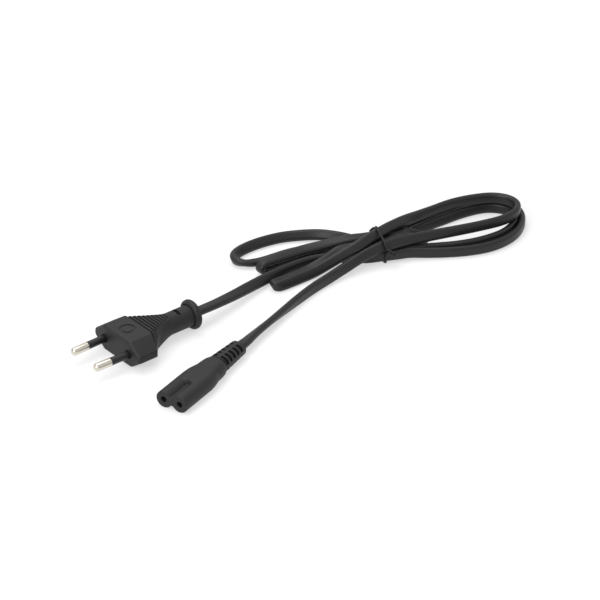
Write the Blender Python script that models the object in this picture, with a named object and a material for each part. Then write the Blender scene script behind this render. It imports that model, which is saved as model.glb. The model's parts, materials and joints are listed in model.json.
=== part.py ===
"""Power cord: a moulded two-pin plug, a flat twin flex folded into a tied bundle, and a figure-8 connector.

The plug lies along +X with its pins at -X. The flex runs to the bundle, and back to the connector,
which lies beside the plug. Everything rests on the floor at z = 0.
"""

import math

import bmesh
import bpy
from mathutils import Matrix, Vector

MM = 0.001

# Fits and shared small sizes
GAP = 0.3 * MM  # between two pieces that touch
OVERRUN = 1.0 * MM  # how far a cutter passes the face that it opens
MERGE = 0.003 * MM  # points closer than this are one point
WALL_SEGMENTS = 24  # sides of a small round piece

# Flat twin flex
FLEX_WIDTH = 5.6 * MM
FLEX_THICKNESS = 3.4 * MM
CORE_DIAMETER = 2.0 * MM
CORE_SPACING = 2.3 * MM
LEAD_SPACING = 13.0 * MM  # between the points of a lead
HANK_SPACING = 6.0 * MM  # between the points of a loop in the bundle
PLUG_LEAD_ENDS = (45.85 * MM, 149.2 * MM)
CONNECTOR_LEAD_ENDS = (47.0 * MM, 149.2 * MM)

# Plug block and grip
BLOCK_WIDTH = 35.3 * MM
BLOCK_HEIGHT = 13.7 * MM
BLOCK_LENGTH = 13.3 * MM
TOP_FLAT = 20.4 * MM  # width of the block's flat top
SIDE_BAND = 3.2 * MM  # height of the block's upright side
FRONT_ROUND = 0.8 * MM  # how far the edge round the pin face is drawn in
GRIP_LENGTH = 17.5 * MM
SHOULDER_LENGTH = 9.0 * MM
NECK_DIAMETER = 10.7 * MM
NECK_LENGTH = 10.8 * MM
FLANGE_DIAMETER = 15.4 * MM
FLANGE_THICKNESS = 3.8 * MM
FLANGE_ROUND = 1.2 * MM
RIB_COUNT = 9
RIB_GROOVE = 0.75 * MM
RIB_DEPTH = 0.55 * MM
NECK_SLOT_LENGTH = 5.0 * MM
NECK_SLOT_WIDTH = 1.3 * MM
NECK_SLOT_DEPTH = 1.6 * MM
NECK_SLOT_SETBACK = 7.0 * MM  # from the flange to the slot
MARK_DIAMETER = 7.4 * MM
MARK_RECESS = 0.35 * MM
MARK_RIM = 0.8 * MM
MARK_PLACE = 6.8 * MM  # from the pin face to the middle of the round recess

# Plug pins, sleeves and carrier
PIN_LENGTH = 19.0 * MM
PIN_DIAMETER = 4.0 * MM
PIN_SPACING = 18.6 * MM  # at the pin face
PIN_LEAN = math.radians(1.4)  # each pin leans inwards towards its tip
SLEEVE_LENGTH = 10.0 * MM  # in front of the pin face
SLEEVE_DIAMETER = 3.8 * MM
SLEEVE_WALL = 0.45 * MM
SLEEVE_FIT = 0.15 * MM  # between a sleeve and the pin's shank
PIN_ROOT = 11.0 * MM  # length of a pin behind the pin face
CARRIER_SETBACK = 2.4 * MM
CARRIER_LENGTH = 6.0 * MM
CARRIER_EDGE = 3.7 * MM  # from a pin's axis to the carrier's end
CARRIER_WIDTH = PIN_SPACING + 2 * CARRIER_EDGE
CARRIER_HEIGHT = 8.4 * MM
CARRIER_CORNER = 2.0 * MM
CRIMP_WALL = 0.4 * MM

# Figure-8 connector
HOLE_SPACING = 8.6 * MM
NOSE_EDGE = 4.1 * MM  # from a hole's axis to the side of the nose
NOSE_WIDTH = HOLE_SPACING + 2 * NOSE_EDGE
NOSE_HEIGHT = 8.4 * MM
NOSE_WAIST = 6.9 * MM  # height between the two lobes
HOLE_DIAMETER = 2.9 * MM
BODY_LENGTH = 37.5 * MM
BODY_TAPER = 16.0 * MM  # the length over which the body narrows to its strain relief
BODY_STEP = 0.5 * MM
WAIST_GROOVE_LENGTH = 14.0 * MM
RELIEF_LENGTH = 18.7 * MM
RELIEF_WIDTH = 10.6 * MM
RELIEF_HEIGHT = 8.0 * MM
RELIEF_END_WIDTH = 8.6 * MM
RELIEF_END_HEIGHT = 6.8 * MM
RELIEF_ROWS = 5
RELIEF_SLOT_WIDTH = 1.5 * MM
RELIEF_SLOT_DEPTH = 1.0 * MM
RELIEF_WEB = 1.5 * MM  # the rib left at each corner between a top slot and a side slot
RELIEF_COLLAR = 2.7 * MM
FACE_WALL = 1.4 * MM
CONTACT_LENGTH = 12.0 * MM
CONTACT_DIAMETER = 3.5 * MM
CONTACT_WALL = 0.35 * MM
CONTACT_SLIT = 0.6 * MM
CONTACT_CARRIER_LENGTH = 15.0 * MM
CONTACT_CARRIER_EDGE = 2.7 * MM  # from a contact's axis to the carrier's side
CONTACT_CARRIER_WIDTH = HOLE_SPACING + 2 * CONTACT_CARRIER_EDGE
CONTACT_CARRIER_HEIGHT = 5.4 * MM
CONTACT_ROOM = 4.0 * MM  # behind the carrier, where the cores spread

# Where the connector lies beside the plug, from the middle of the plug's pin face
CONNECTOR_AHEAD = -6.6 * MM
CONNECTOR_ASIDE = -51.1 * MM
CONNECTOR_TURN = math.radians(18.9)

# Twist tie
TIE_WIRE = 1.1 * MM
TIE_SPACING = 1.2 * MM  # between the points of the wire
TIE_TWIST_TURNS = 2.0
TIE_TWIST_REACH = 0.65 * MM  # from the twist's axis to the middle of either wire

# Bundle at the tie
WAIST_PLACE = 160.0 * MM  # from the plug's pin face to the middle of the tied part
WAIST_LENGTH = 18.0 * MM
WAIST_LOW = 1.5 * MM
WAIST_HEIGHT = 10.6 * MM
WAIST_FAR = 3.5 * MM
WAIST_NEAR = -12.3 * MM
WAIST_CORNER = 1.6 * MM

# The tie's wire, in the same millimetres as the flex's route: once round the bundle, with an open loop
# over its far top edge, and then the line along which its two ends are twisted.
TIE_RING = [
    (153.7, -14.1, 9.7), (153.5, -13.5, 10.9), (153.6, -12.7, 12.3), (154.2, -11.2, 13.2),
    (155.0, -8.0, 13.4), (156.0, -4.0, 13.4), (156.9, -0.6, 13.5), (157.6, 0.9, 13.7), (158.5, 1.9, 14.2),
    (158.5, 2.6, 15.0), (157.6, 2.7, 15.6), (156.6, 2.4, 15.1), (156.7, 2.5, 14.1), (157.4, 3.4, 13.3),
    (157.9, 4.3, 12.2), (158.1, 4.8, 10.4), (158.4, 5.3, 7.0), (158.8, 5.5, 3.6), (158.5, 4.9, 1.5),
    (157.8, 2.8, 0.65), (156.8, 0.0, 0.62), (155.6, -5.0, 0.62), (154.4, -9.6, 0.65), (154.0, -11.8, 0.9),
    (153.8, -13.1, 2.0), (153.6, -13.5, 4.2), (153.4, -13.7, 5.9), (153.2, -14.2, 7.0),
]
TIE_TWIST = [(153.7, -14.5, 8.3), (158.2, -16.0, 3.4)]

# The flex's route: millimetres along X from the pin face, across to the left and up from the floor, and
# the turn in degrees of its wide side, 0 where it lies flat and 90 where it stands on edge. Each stretch
# after the first starts in the tie.
ROUTE = {
    "plug lead": [
        (44.3, 0.0, 7.6, 0), (50.0, 0.2, 7.5, 0), (60.0, 1.5, 6.8, 5), (72.0, 4.0, 5.6, 20),
        (86.0, 7.5, 4.2, 45), (100.0, 10.2, 3.2, 70), (112.0, 11.2, 2.9, 88), (124.0, 10.2, 2.9, 90),
        (133.0, 6.8, 2.9, 90), (140.0, 1.6, 2.9, 90), (147.0, -5.0, 3.1, 90), (153.0, -9.6, 4.2, 90),
    ],
    "big lower loop": [
        (160.0, -12.8, 4.0, 90), (166.5, -15.4, 3.7, 90), (174.0, -20.2, 3.1, 90),
        (182.0, -25.6, 2.9, 90), (191.0, -30.8, 2.9, 90), (201.0, -34.4, 2.9, 90),
        (211.0, -35.0, 2.9, 90), (220.5, -32.8, 2.9, 90), (229.0, -27.6, 2.9, 90),
        (235.4, -20.4, 2.9, 90), (238.0, -12.4, 2.9, 90), (236.8, -4.8, 2.9, 90), (231.0, 1.4, 2.9, 90),
        (221.0, 5.6, 2.9, 90), (209.0, 7.0, 2.9, 90), (196.0, 6.8, 2.9, 90), (184.0, 5.7, 2.9, 90),
        (171.7, 3.7, 3.3, 90),
    ],
    "outer left loop": [
        (160.3, -1.0, 4.3, 90), (156.0, 4.1, 4.2, 84), (152.2, 10.9, 4.2, 65), (148.8, 19.4, 3.4, 45),
        (143.6, 27.4, 3.2, 28), (136.0, 33.8, 2.7, 15), (127.0, 38.4, 2.2, 10), (116.0, 40.8, 2.1, 12),
        (106.0, 40.6, 2.3, 25), (99.2, 38.4, 2.7, 55), (96.6, 35.0, 2.9, 80), (97.6, 31.4, 2.9, 90),
        (102.0, 28.6, 2.9, 90), (110.0, 26.8, 2.9, 90), (121.0, 25.2, 2.9, 90), (130.9, 22.5, 3.0, 90),
        (140.0, 18.5, 2.85, 90), (147.0, 12.2, 2.85, 90), (150.9, 4.8, 3.1, 90), (154.8, -1.3, 4.2, 90),
    ],
    "inner lower loop": [
        (160.1, -5.1, 4.2, 90), (167.1, -2.3, 3.5, 90), (177.0, 0.3, 2.9, 85), (189.0, 0.8, 2.9, 78),
        (201.0, 0.6, 2.8, 72), (213.0, -0.5, 2.8, 72), (222.6, -4.0, 2.8, 75), (228.8, -9.6, 2.8, 80),
        (231.0, -16.0, 2.8, 85), (228.2, -22.2, 2.9, 90), (221.6, -26.9, 2.9, 90),
        (212.4, -29.0, 2.9, 90), (201.0, -27.8, 2.9, 90), (190.0, -24.0, 2.9, 90),
        (180.0, -18.6, 2.9, 90), (172.0, -14.4, 3.2, 90), (166.1, -11.2, 3.8, 90),
    ],
    "edge left fold": [
        (159.9, -9.1, 4.3, 90), (154.8, -6.3, 4.2, 90), (151.1, -2.5, 4.5, 90), (146.8, 0.2, 6.7, 90),
        (142.4, 1.8, 8.8, 90), (135.0, 3.0, 8.0, 90), (128.0, 4.0, 5.6, 90), (119.0, 4.9, 3.2, 90),
        (109.0, 5.3, 2.9, 90), (99.0, 5.3, 2.9, 90), (96.9, 4.5, 2.9, 90), (96.0, 2.8, 2.9, 90),
        (96.9, 1.1, 2.9, 90), (99.0, 0.3, 2.9, 90), (109.0, 0.4, 2.9, 90), (119.0, 0.2, 3.2, 90),
        (128.0, -0.4, 5.4, 90), (136.0, -1.4, 8.2, 90), (144.0, -3.0, 9.2, 90), (152.0, -5.2, 9.6, 90),
    ],
    "short loop": [
        (160.0, -6.8, 9.5, 90), (167.0, -8.0, 8.8, 90), (174.0, -9.2, 7.2, 90), (181.0, -10.0, 5.0, 90),
        (187.4, -9.8, 3.3, 90), (191.0, -7.2, 2.9, 90), (188.6, -4.4, 2.9, 90), (183.6, -3.6, 3.4, 90),
        (177.0, -3.5, 5.4, 90), (169.1, -3.5, 8.7, 90),
    ],
    "flat left fold": [
        (160.0, -3.3, 9.7, 90), (154.5, -1.6, 9.6, 88), (150.7, 1.2, 9.8, 82), (146.7, 4.5, 9.6, 70),
        (141.7, 6.3, 9.8, 52), (135.3, 10.9, 8.5, 30), (128.7, 15.3, 5.9, 10), (118.0, 17.8, 5.6, 0),
        (107.0, 18.8, 5.9, 0), (101.8, 18.8, 6.3, 0), (99.8, 18.8, 4.2, 0), (101.8, 18.8, 2.1, 0),
        (107.0, 18.8, 1.9, 0), (117.0, 18.4, 1.9, 0), (127.0, 16.6, 1.9, -2), (134.5, 13.4, 2.3, -12),
        (140.5, 11.2, 4.4, -28), (144.8, 10.2, 7.5, -46), (148.8, 8.2, 8.9, -66), (153.2, 4.8, 9.6, -82),
    ],
    "top loop": [
        (160.0, 0.5, 9.7, -90), (170.0, 1.4, 9.4, -90), (182.0, 2.2, 8.8, -90), (195.0, 2.6, 8.9, -90),
        (208.0, 2.0, 8.9, -90), (219.0, -1.0, 8.9, -90), (227.4, -5.8, 8.9, -90),
        (232.0, -12.4, 8.9, -90), (231.8, -19.4, 8.9, -90), (226.8, -24.6, 8.8, -90),
        (217.6, -26.2, 8.7, -90), (205.0, -23.6, 8.7, -90), (192.0, -19.6, 8.7, -85),
        (180.0, -15.8, 8.8, -70), (170.0, -12.9, 9.0, -56),
    ],
    "connector lead": [
        (160.0, -11.0, 9.2, -48), (151.0, -9.5, 8.9, -46), (141.0, -8.0, 7.0, -60),
        (131.0, -8.0, 4.6, -85), (120.0, -9.0, 3.2, -105), (108.0, -11.2, 2.8, -115),
        (95.0, -15.0, 2.8, -120), (82.0, -19.4, 3.0, -135), (70.0, -23.8, 3.4, -155),
        (60.0, -27.6, 3.8, -172), (52.5, -30.6, 4.1, -180), (46.6, -32.9, 4.2, -180),
    ],
}


def clear_scene():
    for obj in list(bpy.data.objects):
        bpy.data.objects.remove(obj, do_unlink=True)


def material(name, rgb, roughness, metallic=0.0):
    made = bpy.data.materials.new(name)
    made.use_nodes = True
    shader = made.node_tree.nodes["Principled BSDF"]
    shader.inputs["Base Color"].default_value = (*rgb, 1.0)
    shader.inputs["Roughness"].default_value = roughness
    shader.inputs["Metallic"].default_value = metallic
    return made


def frame(name, parent=None, location=(0.0, 0.0, 0.0), rotation=(0.0, 0.0, 0.0)):
    """An empty that carries one assembly."""
    empty = bpy.data.objects.new(name, None)
    empty.location = location
    empty.rotation_euler = rotation
    empty.parent = parent
    bpy.context.collection.objects.link(empty)
    return empty


def place(name, mesh, parent, made_of=None, helper=False):
    obj = bpy.data.objects.new(name, mesh)
    obj.parent = parent
    bpy.context.collection.objects.link(obj)
    if made_of:
        mesh.materials.clear()
        mesh.materials.append(made_of)
    if helper:
        obj.hide_render = True
        obj.display_type = "WIRE"
    return obj


def mesh_from(bm, name, smooth_angle=math.radians(35)):
    bmesh.ops.recalc_face_normals(bm, faces=bm.faces)
    mesh = bpy.data.meshes.new(name)
    bm.to_mesh(mesh)
    bm.free()
    mesh.shade_smooth()
    mesh.set_sharp_from_angle(angle=smooth_angle)
    return mesh


def loft(rings, name):
    """Skins rings of equally many points and closes both ends."""
    bm = bmesh.new()
    levels = [[bm.verts.new(point) for point in ring] for ring in rings]
    count = len(levels[0])
    for low, high in zip(levels, levels[1:]):
        for i in range(count):
            j = (i + 1) % count
            bm.faces.new((low[i], low[j], high[j], high[i]))
    bm.faces.new(list(reversed(levels[0])))
    bm.faces.new(levels[-1])
    return mesh_from(bm, name)


def turned(profile, name, segments=WALL_SEGMENTS):
    """A solid turned about X from (x, radius) points; a radius of zero closes an end in one point."""
    bm = bmesh.new()
    rings = []
    for x, radius in profile:
        if radius == 0.0:
            rings.append([bm.verts.new((x, 0.0, 0.0))])
            continue
        turn = [2.0 * math.pi * k / segments for k in range(segments)]
        rings.append([bm.verts.new((x, radius * math.cos(a), radius * math.sin(a))) for a in turn])
    for low, high in zip(rings, rings[1:]):
        for i in range(segments):
            j = (i + 1) % segments
            corners = [low[i % len(low)], low[j % len(low)], high[j % len(high)], high[i % len(high)]]
            distinct = list(dict.fromkeys(corners))
            bm.faces.new(distinct)
    for end in (rings[0], rings[-1]):
        if len(end) > 1:
            bm.faces.new(end)
    return mesh_from(bm, name)


def tube(length, outer, inner, name, start=0.0, segments=WALL_SEGMENTS):
    """An open-ended tube along X, made as one ring-shaped section turned about X."""
    bm = bmesh.new()
    section = [(start, inner), (start, outer), (start + length, outer), (start + length, inner)]
    rings = []
    for k in range(segments):
        a = 2.0 * math.pi * k / segments
        rings.append([bm.verts.new((x, r * math.cos(a), r * math.sin(a))) for x, r in section])
    for k in range(segments):
        here, there = rings[k], rings[(k + 1) % segments]
        for i in range(len(section)):
            j = (i + 1) % len(section)
            bm.faces.new((here[i], here[j], there[j], there[i]))
    return mesh_from(bm, name)


def rounded_rectangle(width, height, corner, steps=4):
    """Points (y, z) of a rectangle with round corners, centred on zero."""
    points = []
    corner = min(corner, width / 2, height / 2)
    for quarter in range(4):
        side = 1 if quarter in (0, 3) else -1
        up = 1 if quarter in (0, 1) else -1
        middle = (side * (width / 2 - corner), up * (height / 2 - corner))
        for k in range(steps + 1):
            a = math.pi / 2 * (quarter + k / steps)
            point = Vector((middle[0] + corner * math.cos(a), middle[1] + corner * math.sin(a)))
            if all((point - other).length > MERGE for other in points):
                points.append(point)
    return points


def block(length, width, height, corner, name, start=0.0):
    """A bar along X of rounded-rectangle section."""
    outline = rounded_rectangle(width, height, corner)
    return loft([[(x, y, z) for y, z in outline] for x in (start, start + length)], name)


def boolean(obj, cutter, operation="DIFFERENCE"):
    step = obj.modifiers.new(operation.lower() + "_" + cutter.name, "BOOLEAN")
    step.operation = operation
    step.solver = "EXACT"
    step.object = cutter


def joined(meshes, name):
    """Several closed meshes in one, as a cutter of separate bodies."""
    bm = bmesh.new()
    for mesh, matrix in meshes:
        start = len(bm.verts)
        bm.from_mesh(mesh)
        bm.verts.ensure_lookup_table()
        bmesh.ops.transform(bm, matrix=matrix, verts=bm.verts[start:])
    return mesh_from(bm, name)


def smooth_route(points, spacing):
    """Evenly spaced points on a Catmull-Rom curve through the chosen ones, with a turn for each."""
    chosen = [Vector((x * MM, y * MM, z * MM, math.radians(turn))) for x, y, z, turn in points]
    ends = [2 * chosen[0] - chosen[1], *chosen, 2 * chosen[-1] - chosen[-2]]
    fine = []
    samples = 12
    for a, b, c, d in zip(ends, ends[1:], ends[2:], ends[3:]):
        for k in range(samples):
            t = k / samples
            near = 2 * b + (c - a) * t
            far = (2 * a - 5 * b + 4 * c - d) * t**2 + (3 * b - a - 3 * c + d) * t**3
            fine.append((near + far) / 2)
    fine.append(chosen[-1])
    reached = [0.0]
    for p, q in zip(fine, fine[1:]):
        reached.append(reached[-1] + (q - p).xyz.length)
    steps = max(2, round(reached[-1] / spacing))
    chain = []
    at = 0
    for k in range(steps + 1):
        target = reached[-1] * k / steps
        while at < len(fine) - 2 and reached[at + 1] < target:
            at += 1
        span = reached[at + 1] - reached[at]
        chain.append(fine[at].lerp(fine[at + 1], (target - reached[at]) / span))
    return chain


def run_curve(name, chain, radius, parent, made_of, widening=0.0, resolution=2):
    """A tube along a chain of points. Widening pulls it out to a flat section, turned as each point says."""
    curve = bpy.data.curves.new(name, "CURVE")
    curve.dimensions = "3D"
    curve.twist_mode = "Z_UP"
    curve.extrude = widening / 2
    curve.bevel_depth = radius
    curve.bevel_resolution = resolution
    curve.use_fill_caps = True
    spline = curve.splines.new("POLY")
    spline.points.add(len(chain) - 1)
    for point, (x, y, z, turn) in zip(spline.points, chain):
        point.co = (x, y, z, 1.0)
        point.tilt = turn - math.pi / 2
    curve.materials.append(made_of)
    obj = bpy.data.objects.new(name, curve)
    obj.parent = parent
    bpy.context.collection.objects.link(obj)
    return obj


# Plug: the overmoulding

GRIP_END = BLOCK_LENGTH + GRIP_LENGTH
NECK_END = GRIP_END + NECK_LENGTH
PLUG_LENGTH = NECK_END + FLANGE_THICKNESS


def eight_sided(width, height, flat, band, radius, roundness, per_side=5):
    """A ring of (y, z) points between an eight-sided outline (0) and a circle (1)."""
    half_w, half_h, half_f, half_b = width / 2, height / 2, flat / 2, band / 2
    corners = [
        (half_w, -half_b), (half_w, half_b), (half_f, half_h), (-half_f, half_h),
        (-half_w, half_b), (-half_w, -half_b), (-half_f, -half_h), (half_f, -half_h),
    ]
    angles = [-15, 15, 50, 130, 165, 195, 230, 310]
    ring = []
    for k, (y, z) in enumerate(corners):
        next_y, next_z = corners[(k + 1) % len(corners)]
        turn = (angles[(k + 1) % len(angles)] - angles[k]) % 360
        for step in range(per_side):
            t = step / per_side
            a = math.radians(angles[k] + turn * t)
            flat_y, flat_z = y + (next_y - y) * t, z + (next_z - z) * t
            round_y, round_z = radius * math.cos(a), radius * math.sin(a)
            ring.append(
                (flat_y + (round_y - flat_y) * roundness, flat_z + (round_z - flat_z) * roundness)
            )
    return ring


def grip_section(t):
    """Width, height, flat, band and roundness of the grip, from the block (0) to the neck (1)."""
    flat_share, width_share, grip_share, end_flat_share, end_band_share = 0.88, 0.985, 0.79, 0.2, 0.25
    shoulder_bend, waist_bend, height_bend, flat_bend = 2.4, 1.6, 1.1, 1.15
    left = 1 - t
    grip_flat = TOP_FLAT * grip_share
    shoulder = max(0.0, 1 - t * GRIP_LENGTH / SHOULDER_LENGTH) ** shoulder_bend
    waist = NECK_DIAMETER + (grip_flat - NECK_DIAMETER) * left**waist_bend
    width = waist + (BLOCK_WIDTH * width_share - grip_flat) * shoulder
    height = NECK_DIAMETER + (BLOCK_HEIGHT - NECK_DIAMETER) * left**height_bend
    flat = TOP_FLAT * flat_share * left**flat_bend + NECK_DIAMETER * end_flat_share * t
    band = SIDE_BAND + (NECK_DIAMETER * end_band_share - SIDE_BAND) * t
    return width, height, flat, band, t**2


def plug_rings():
    """The block, its rounded front edge, the grooved grip, the neck and the round flange."""
    neck = NECK_DIAMETER / 2
    rings = []

    def ring(x, width, height, flat, band, radius, roundness, groove=0.0):
        outline = eight_sided(width, height, flat, band, radius, roundness)
        limit = height / 2 - groove
        rings.append([(x, y, max(-limit, min(limit, z))) for y, z in outline])

    front_round_shares = (0.0, 0.35, 1.0)
    for share in front_round_shares:
        drawn_in = 2 * FRONT_ROUND * (1 - math.sqrt(share * (2 - share)))
        ring(
            FRONT_ROUND * share, BLOCK_WIDTH - drawn_in, BLOCK_HEIGHT - drawn_in,
            TOP_FLAT - drawn_in / 2, SIDE_BAND, neck, 0.0,
        )
    corner_start_share = 0.8
    ring(BLOCK_LENGTH * corner_start_share, BLOCK_WIDTH, BLOCK_HEIGHT, TOP_FLAT, SIDE_BAND, neck, 0.0)
    plain_end_share = 0.6
    pitch_share = 1 / (RIB_COUNT + plain_end_share)
    groove_share = RIB_GROOVE / GRIP_LENGTH
    slope_share = groove_share / 5
    for k in range(RIB_COUNT):
        start = k * pitch_share
        stations = (
            (start, 0.0), (start + slope_share, RIB_DEPTH),
            (start + groove_share - slope_share, RIB_DEPTH), (start + groove_share, 0.0),
        )
        for t, groove in stations:
            width, height, flat, band, roundness = grip_section(t)
            ring(BLOCK_LENGTH + GRIP_LENGTH * t, width, height, flat, band, neck, roundness, groove)
    width, height, flat, band, roundness = grip_section(RIB_COUNT * pitch_share)
    ring(BLOCK_LENGTH + GRIP_LENGTH * RIB_COUNT * pitch_share, width, height, flat, band, neck, roundness)
    ring(GRIP_END, NECK_DIAMETER, NECK_DIAMETER, neck, neck, neck, 1.0)
    ring(NECK_END, NECK_DIAMETER, NECK_DIAMETER, neck, neck, neck, 1.0)
    flange = FLANGE_DIAMETER / 2
    ring(NECK_END, FLANGE_DIAMETER, FLANGE_DIAMETER, neck, neck, flange - FLANGE_ROUND, 1.0)
    arcs = 4
    for k in range(1, arcs + 1):
        a = math.pi / 2 * k / arcs
        radius = flange - FLANGE_ROUND * (1 - math.sin(a))
        ring(NECK_END + FLANGE_ROUND * (1 - math.cos(a)), 0.0, FLANGE_DIAMETER, 0.0, 0.0, radius, 1.0)
    for k in range(arcs + 1):
        a = math.pi / 2 * k / arcs
        radius = flange - FLANGE_ROUND * (1 - math.cos(a))
        ring(PLUG_LENGTH - FLANGE_ROUND * (1 - math.sin(a)), 0.0, FLANGE_DIAMETER, 0.0, 0.0, radius, 1.0)
    return rings


def pin_frame(side):
    """Where a pin leaves the pin face, with the lean of the pin."""
    turn = Matrix.Rotation(side * PIN_LEAN, 4, "Z")
    return Matrix.Translation((0.0, side * PIN_SPACING / 2, 0.0)) @ turn


def build_plug(parent, looks):
    shank = PIN_DIAMETER / 2 - SLEEVE_WALL - SLEEVE_FIT - (PIN_DIAMETER - SLEEVE_DIAMETER) / 2
    tip = PIN_DIAMETER / 2
    body = place("plug_body", loft(plug_rings(), "plug_body"), parent, looks["moulding"])

    carrier_back = CARRIER_SETBACK + CARRIER_LENGTH
    pocket = block(
        CARRIER_LENGTH + 2 * GAP, CARRIER_WIDTH + 2 * GAP, CARRIER_HEIGHT + 2 * GAP,
        CARRIER_CORNER, "pocket", CARRIER_SETBACK - GAP,
    )
    crimp = CORE_DIAMETER / 2 + CRIMP_WALL + GAP
    room_share = 2.2
    back_room = block(
        PIN_ROOT + CORE_DIAMETER * room_share - carrier_back, PIN_SPACING + 2 * (crimp + 3 * GAP),
        2 * (crimp + GAP), crimp, "back_room", carrier_back,
    )
    bore = block(
        PLUG_LENGTH - PIN_ROOT + OVERRUN, FLEX_WIDTH, FLEX_THICKNESS, FLEX_THICKNESS / 2, "bore", PIN_ROOT
    )
    for name, mesh in (("carrier_pocket", pocket), ("crimp_room", back_room), ("flex_bore", bore)):
        boolean(body, place(name, mesh, parent, helper=True))
    holes = []
    for side in (1, -1):
        hole = turned(
            [(-OVERRUN, SLEEVE_DIAMETER / 2 + GAP), (CARRIER_SETBACK, SLEEVE_DIAMETER / 2 + GAP)], "pin_hole"
        )
        holes.append((hole, pin_frame(side)))
    boolean(body, place("pin_holes", joined(holes, "pin_holes"), parent, helper=True))
    slot = block(
        NECK_SLOT_WIDTH, NECK_SLOT_LENGTH, NECK_SLOT_DEPTH, 0.0, "neck_slot", -NECK_SLOT_WIDTH / 2
    )
    slots = []
    slot_x = NECK_END - NECK_SLOT_SETBACK
    for side in (1, -1):
        slots.append((slot, Matrix.Translation((slot_x, 0.0, side * NECK_DIAMETER / 2))))
    boolean(body, place("neck_slots", joined(slots, "neck_slots"), parent, helper=True))
    mark = tube(2 * MARK_RECESS, MARK_DIAMETER / 2, MARK_DIAMETER / 2 - MARK_RIM, "mark", -MARK_RECESS)
    upright = Matrix.Translation((MARK_PLACE, 0.0, BLOCK_HEIGHT / 2)) @ Matrix.Rotation(math.pi / 2, 4, "Y")
    boolean(body, place("round_mark", joined([(mark, upright)], "round_mark"), parent, helper=True))

    carrier = place(
        "pin_carrier",
        block(CARRIER_LENGTH, CARRIER_WIDTH, CARRIER_HEIGHT, CARRIER_CORNER, "pin_carrier", CARRIER_SETBACK),
        parent, looks["carrier"],
    )
    through = []
    for side in (1, -1):
        drill = turned(
            [(CARRIER_SETBACK - OVERRUN, shank + GAP), (carrier_back + OVERRUN, shank + GAP)], "pin_bore"
        )
        through.append((drill, pin_frame(side)))
    boolean(carrier, place("pin_bores", joined(through, "pin_bores"), parent, helper=True))

    steps = 5
    nose_share = 0.8
    nose = []
    for k in range(steps + 1):
        a = math.pi / 2 * k / steps
        nose.append((-PIN_LENGTH + tip * nose_share * (1 - math.cos(a)), tip * math.sin(a)))
    crimp_inner = CORE_DIAMETER / 2 + GAP
    crimp_outer = crimp_inner + CRIMP_WALL
    crimp_start = carrier_back + GAP
    pin_profile = [
        *nose, (-SLEEVE_LENGTH, tip), (-SLEEVE_LENGTH, shank), (crimp_start, shank),
        (crimp_start, crimp_outer), (PIN_ROOT, crimp_outer),
    ]
    crimp_bore = turned(
        [(carrier_back + 2 * GAP, crimp_inner), (PIN_ROOT + OVERRUN, crimp_inner)], "crimp_bore"
    )
    for side, label in ((1, "live"), (-1, "neutral")):
        seat = frame(f"pin_seat_{label}", parent)
        seat.matrix_local = pin_frame(side)
        pin = place(f"pin_{label}", turned(pin_profile, f"pin_{label}"), seat, looks["nickel"])
        boolean(pin, place(f"crimp_bore_{label}", crimp_bore, seat, helper=True))
        sleeve_length = SLEEVE_LENGTH - GAP + CARRIER_SETBACK - GAP
        sleeve = tube(
            sleeve_length, SLEEVE_DIAMETER / 2, shank + SLEEVE_FIT, f"pin_sleeve_{label}", GAP - SLEEVE_LENGTH
        )
        place(f"pin_sleeve_{label}", sleeve, seat, looks["sleeve"])
        outer = PIN_SPACING / 2 + PIN_ROOT * math.sin(PIN_LEAN)
        inner = CORE_SPACING / 2
        path_shares = ((-0.75, 1.0), (0.3, 1.0), (1.0, 0.73), (1.4, 0.33), (1.8, 0.06), (3.2, 0.0))
        path = []
        for along_share, across_share in path_shares:
            across = inner + (outer - inner) * across_share
            path.append((PIN_ROOT + CORE_DIAMETER * along_share, side * across, 0.0))
        path.append((PLUG_LENGTH, side * inner, 0.0))
        build_core(f"plug_core_{label}", parent, looks[label], path)


def build_core(name, parent, made_of, corners):
    """One insulated conductor, laid in a smooth curve through its corners."""
    chain = smooth_route([(x / MM, y / MM, z / MM, 0.0) for x, y, z in corners], CORE_DIAMETER)
    return run_curve(name, chain, CORE_DIAMETER / 2, parent, made_of)


# Connector: figure-8 overmoulding with a slotted strain relief


def figure_eight(width, height, waist, across=0.0, per_lobe=12):
    """A ring of (y, z) points: two round lobes and a hollow between them. across = 1 fills the hollow."""
    radius = height / 2
    offset = width / 2 - radius
    ring = []
    inner_share = 0.6  # how far towards the middle each lobe's points reach
    reach = math.acos(max(-1.0, -inner_share * offset / radius))
    for side in (1, -1):
        for k in range(per_lobe + 1):
            a = -reach + 2 * reach * k / per_lobe
            if side < 0:
                a += math.pi
            y = side * offset + radius * math.cos(a)
            z = radius * math.sin(a)
            limit = waist / 2 + (height / 2 - waist / 2) * across
            inside = abs(y) < offset
            if inside:
                ease = abs(y) / offset
                floor = limit + (radius - limit) * ease**2
                z = math.copysign(floor, z)
            ring.append((y, z))
    return ring


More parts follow.
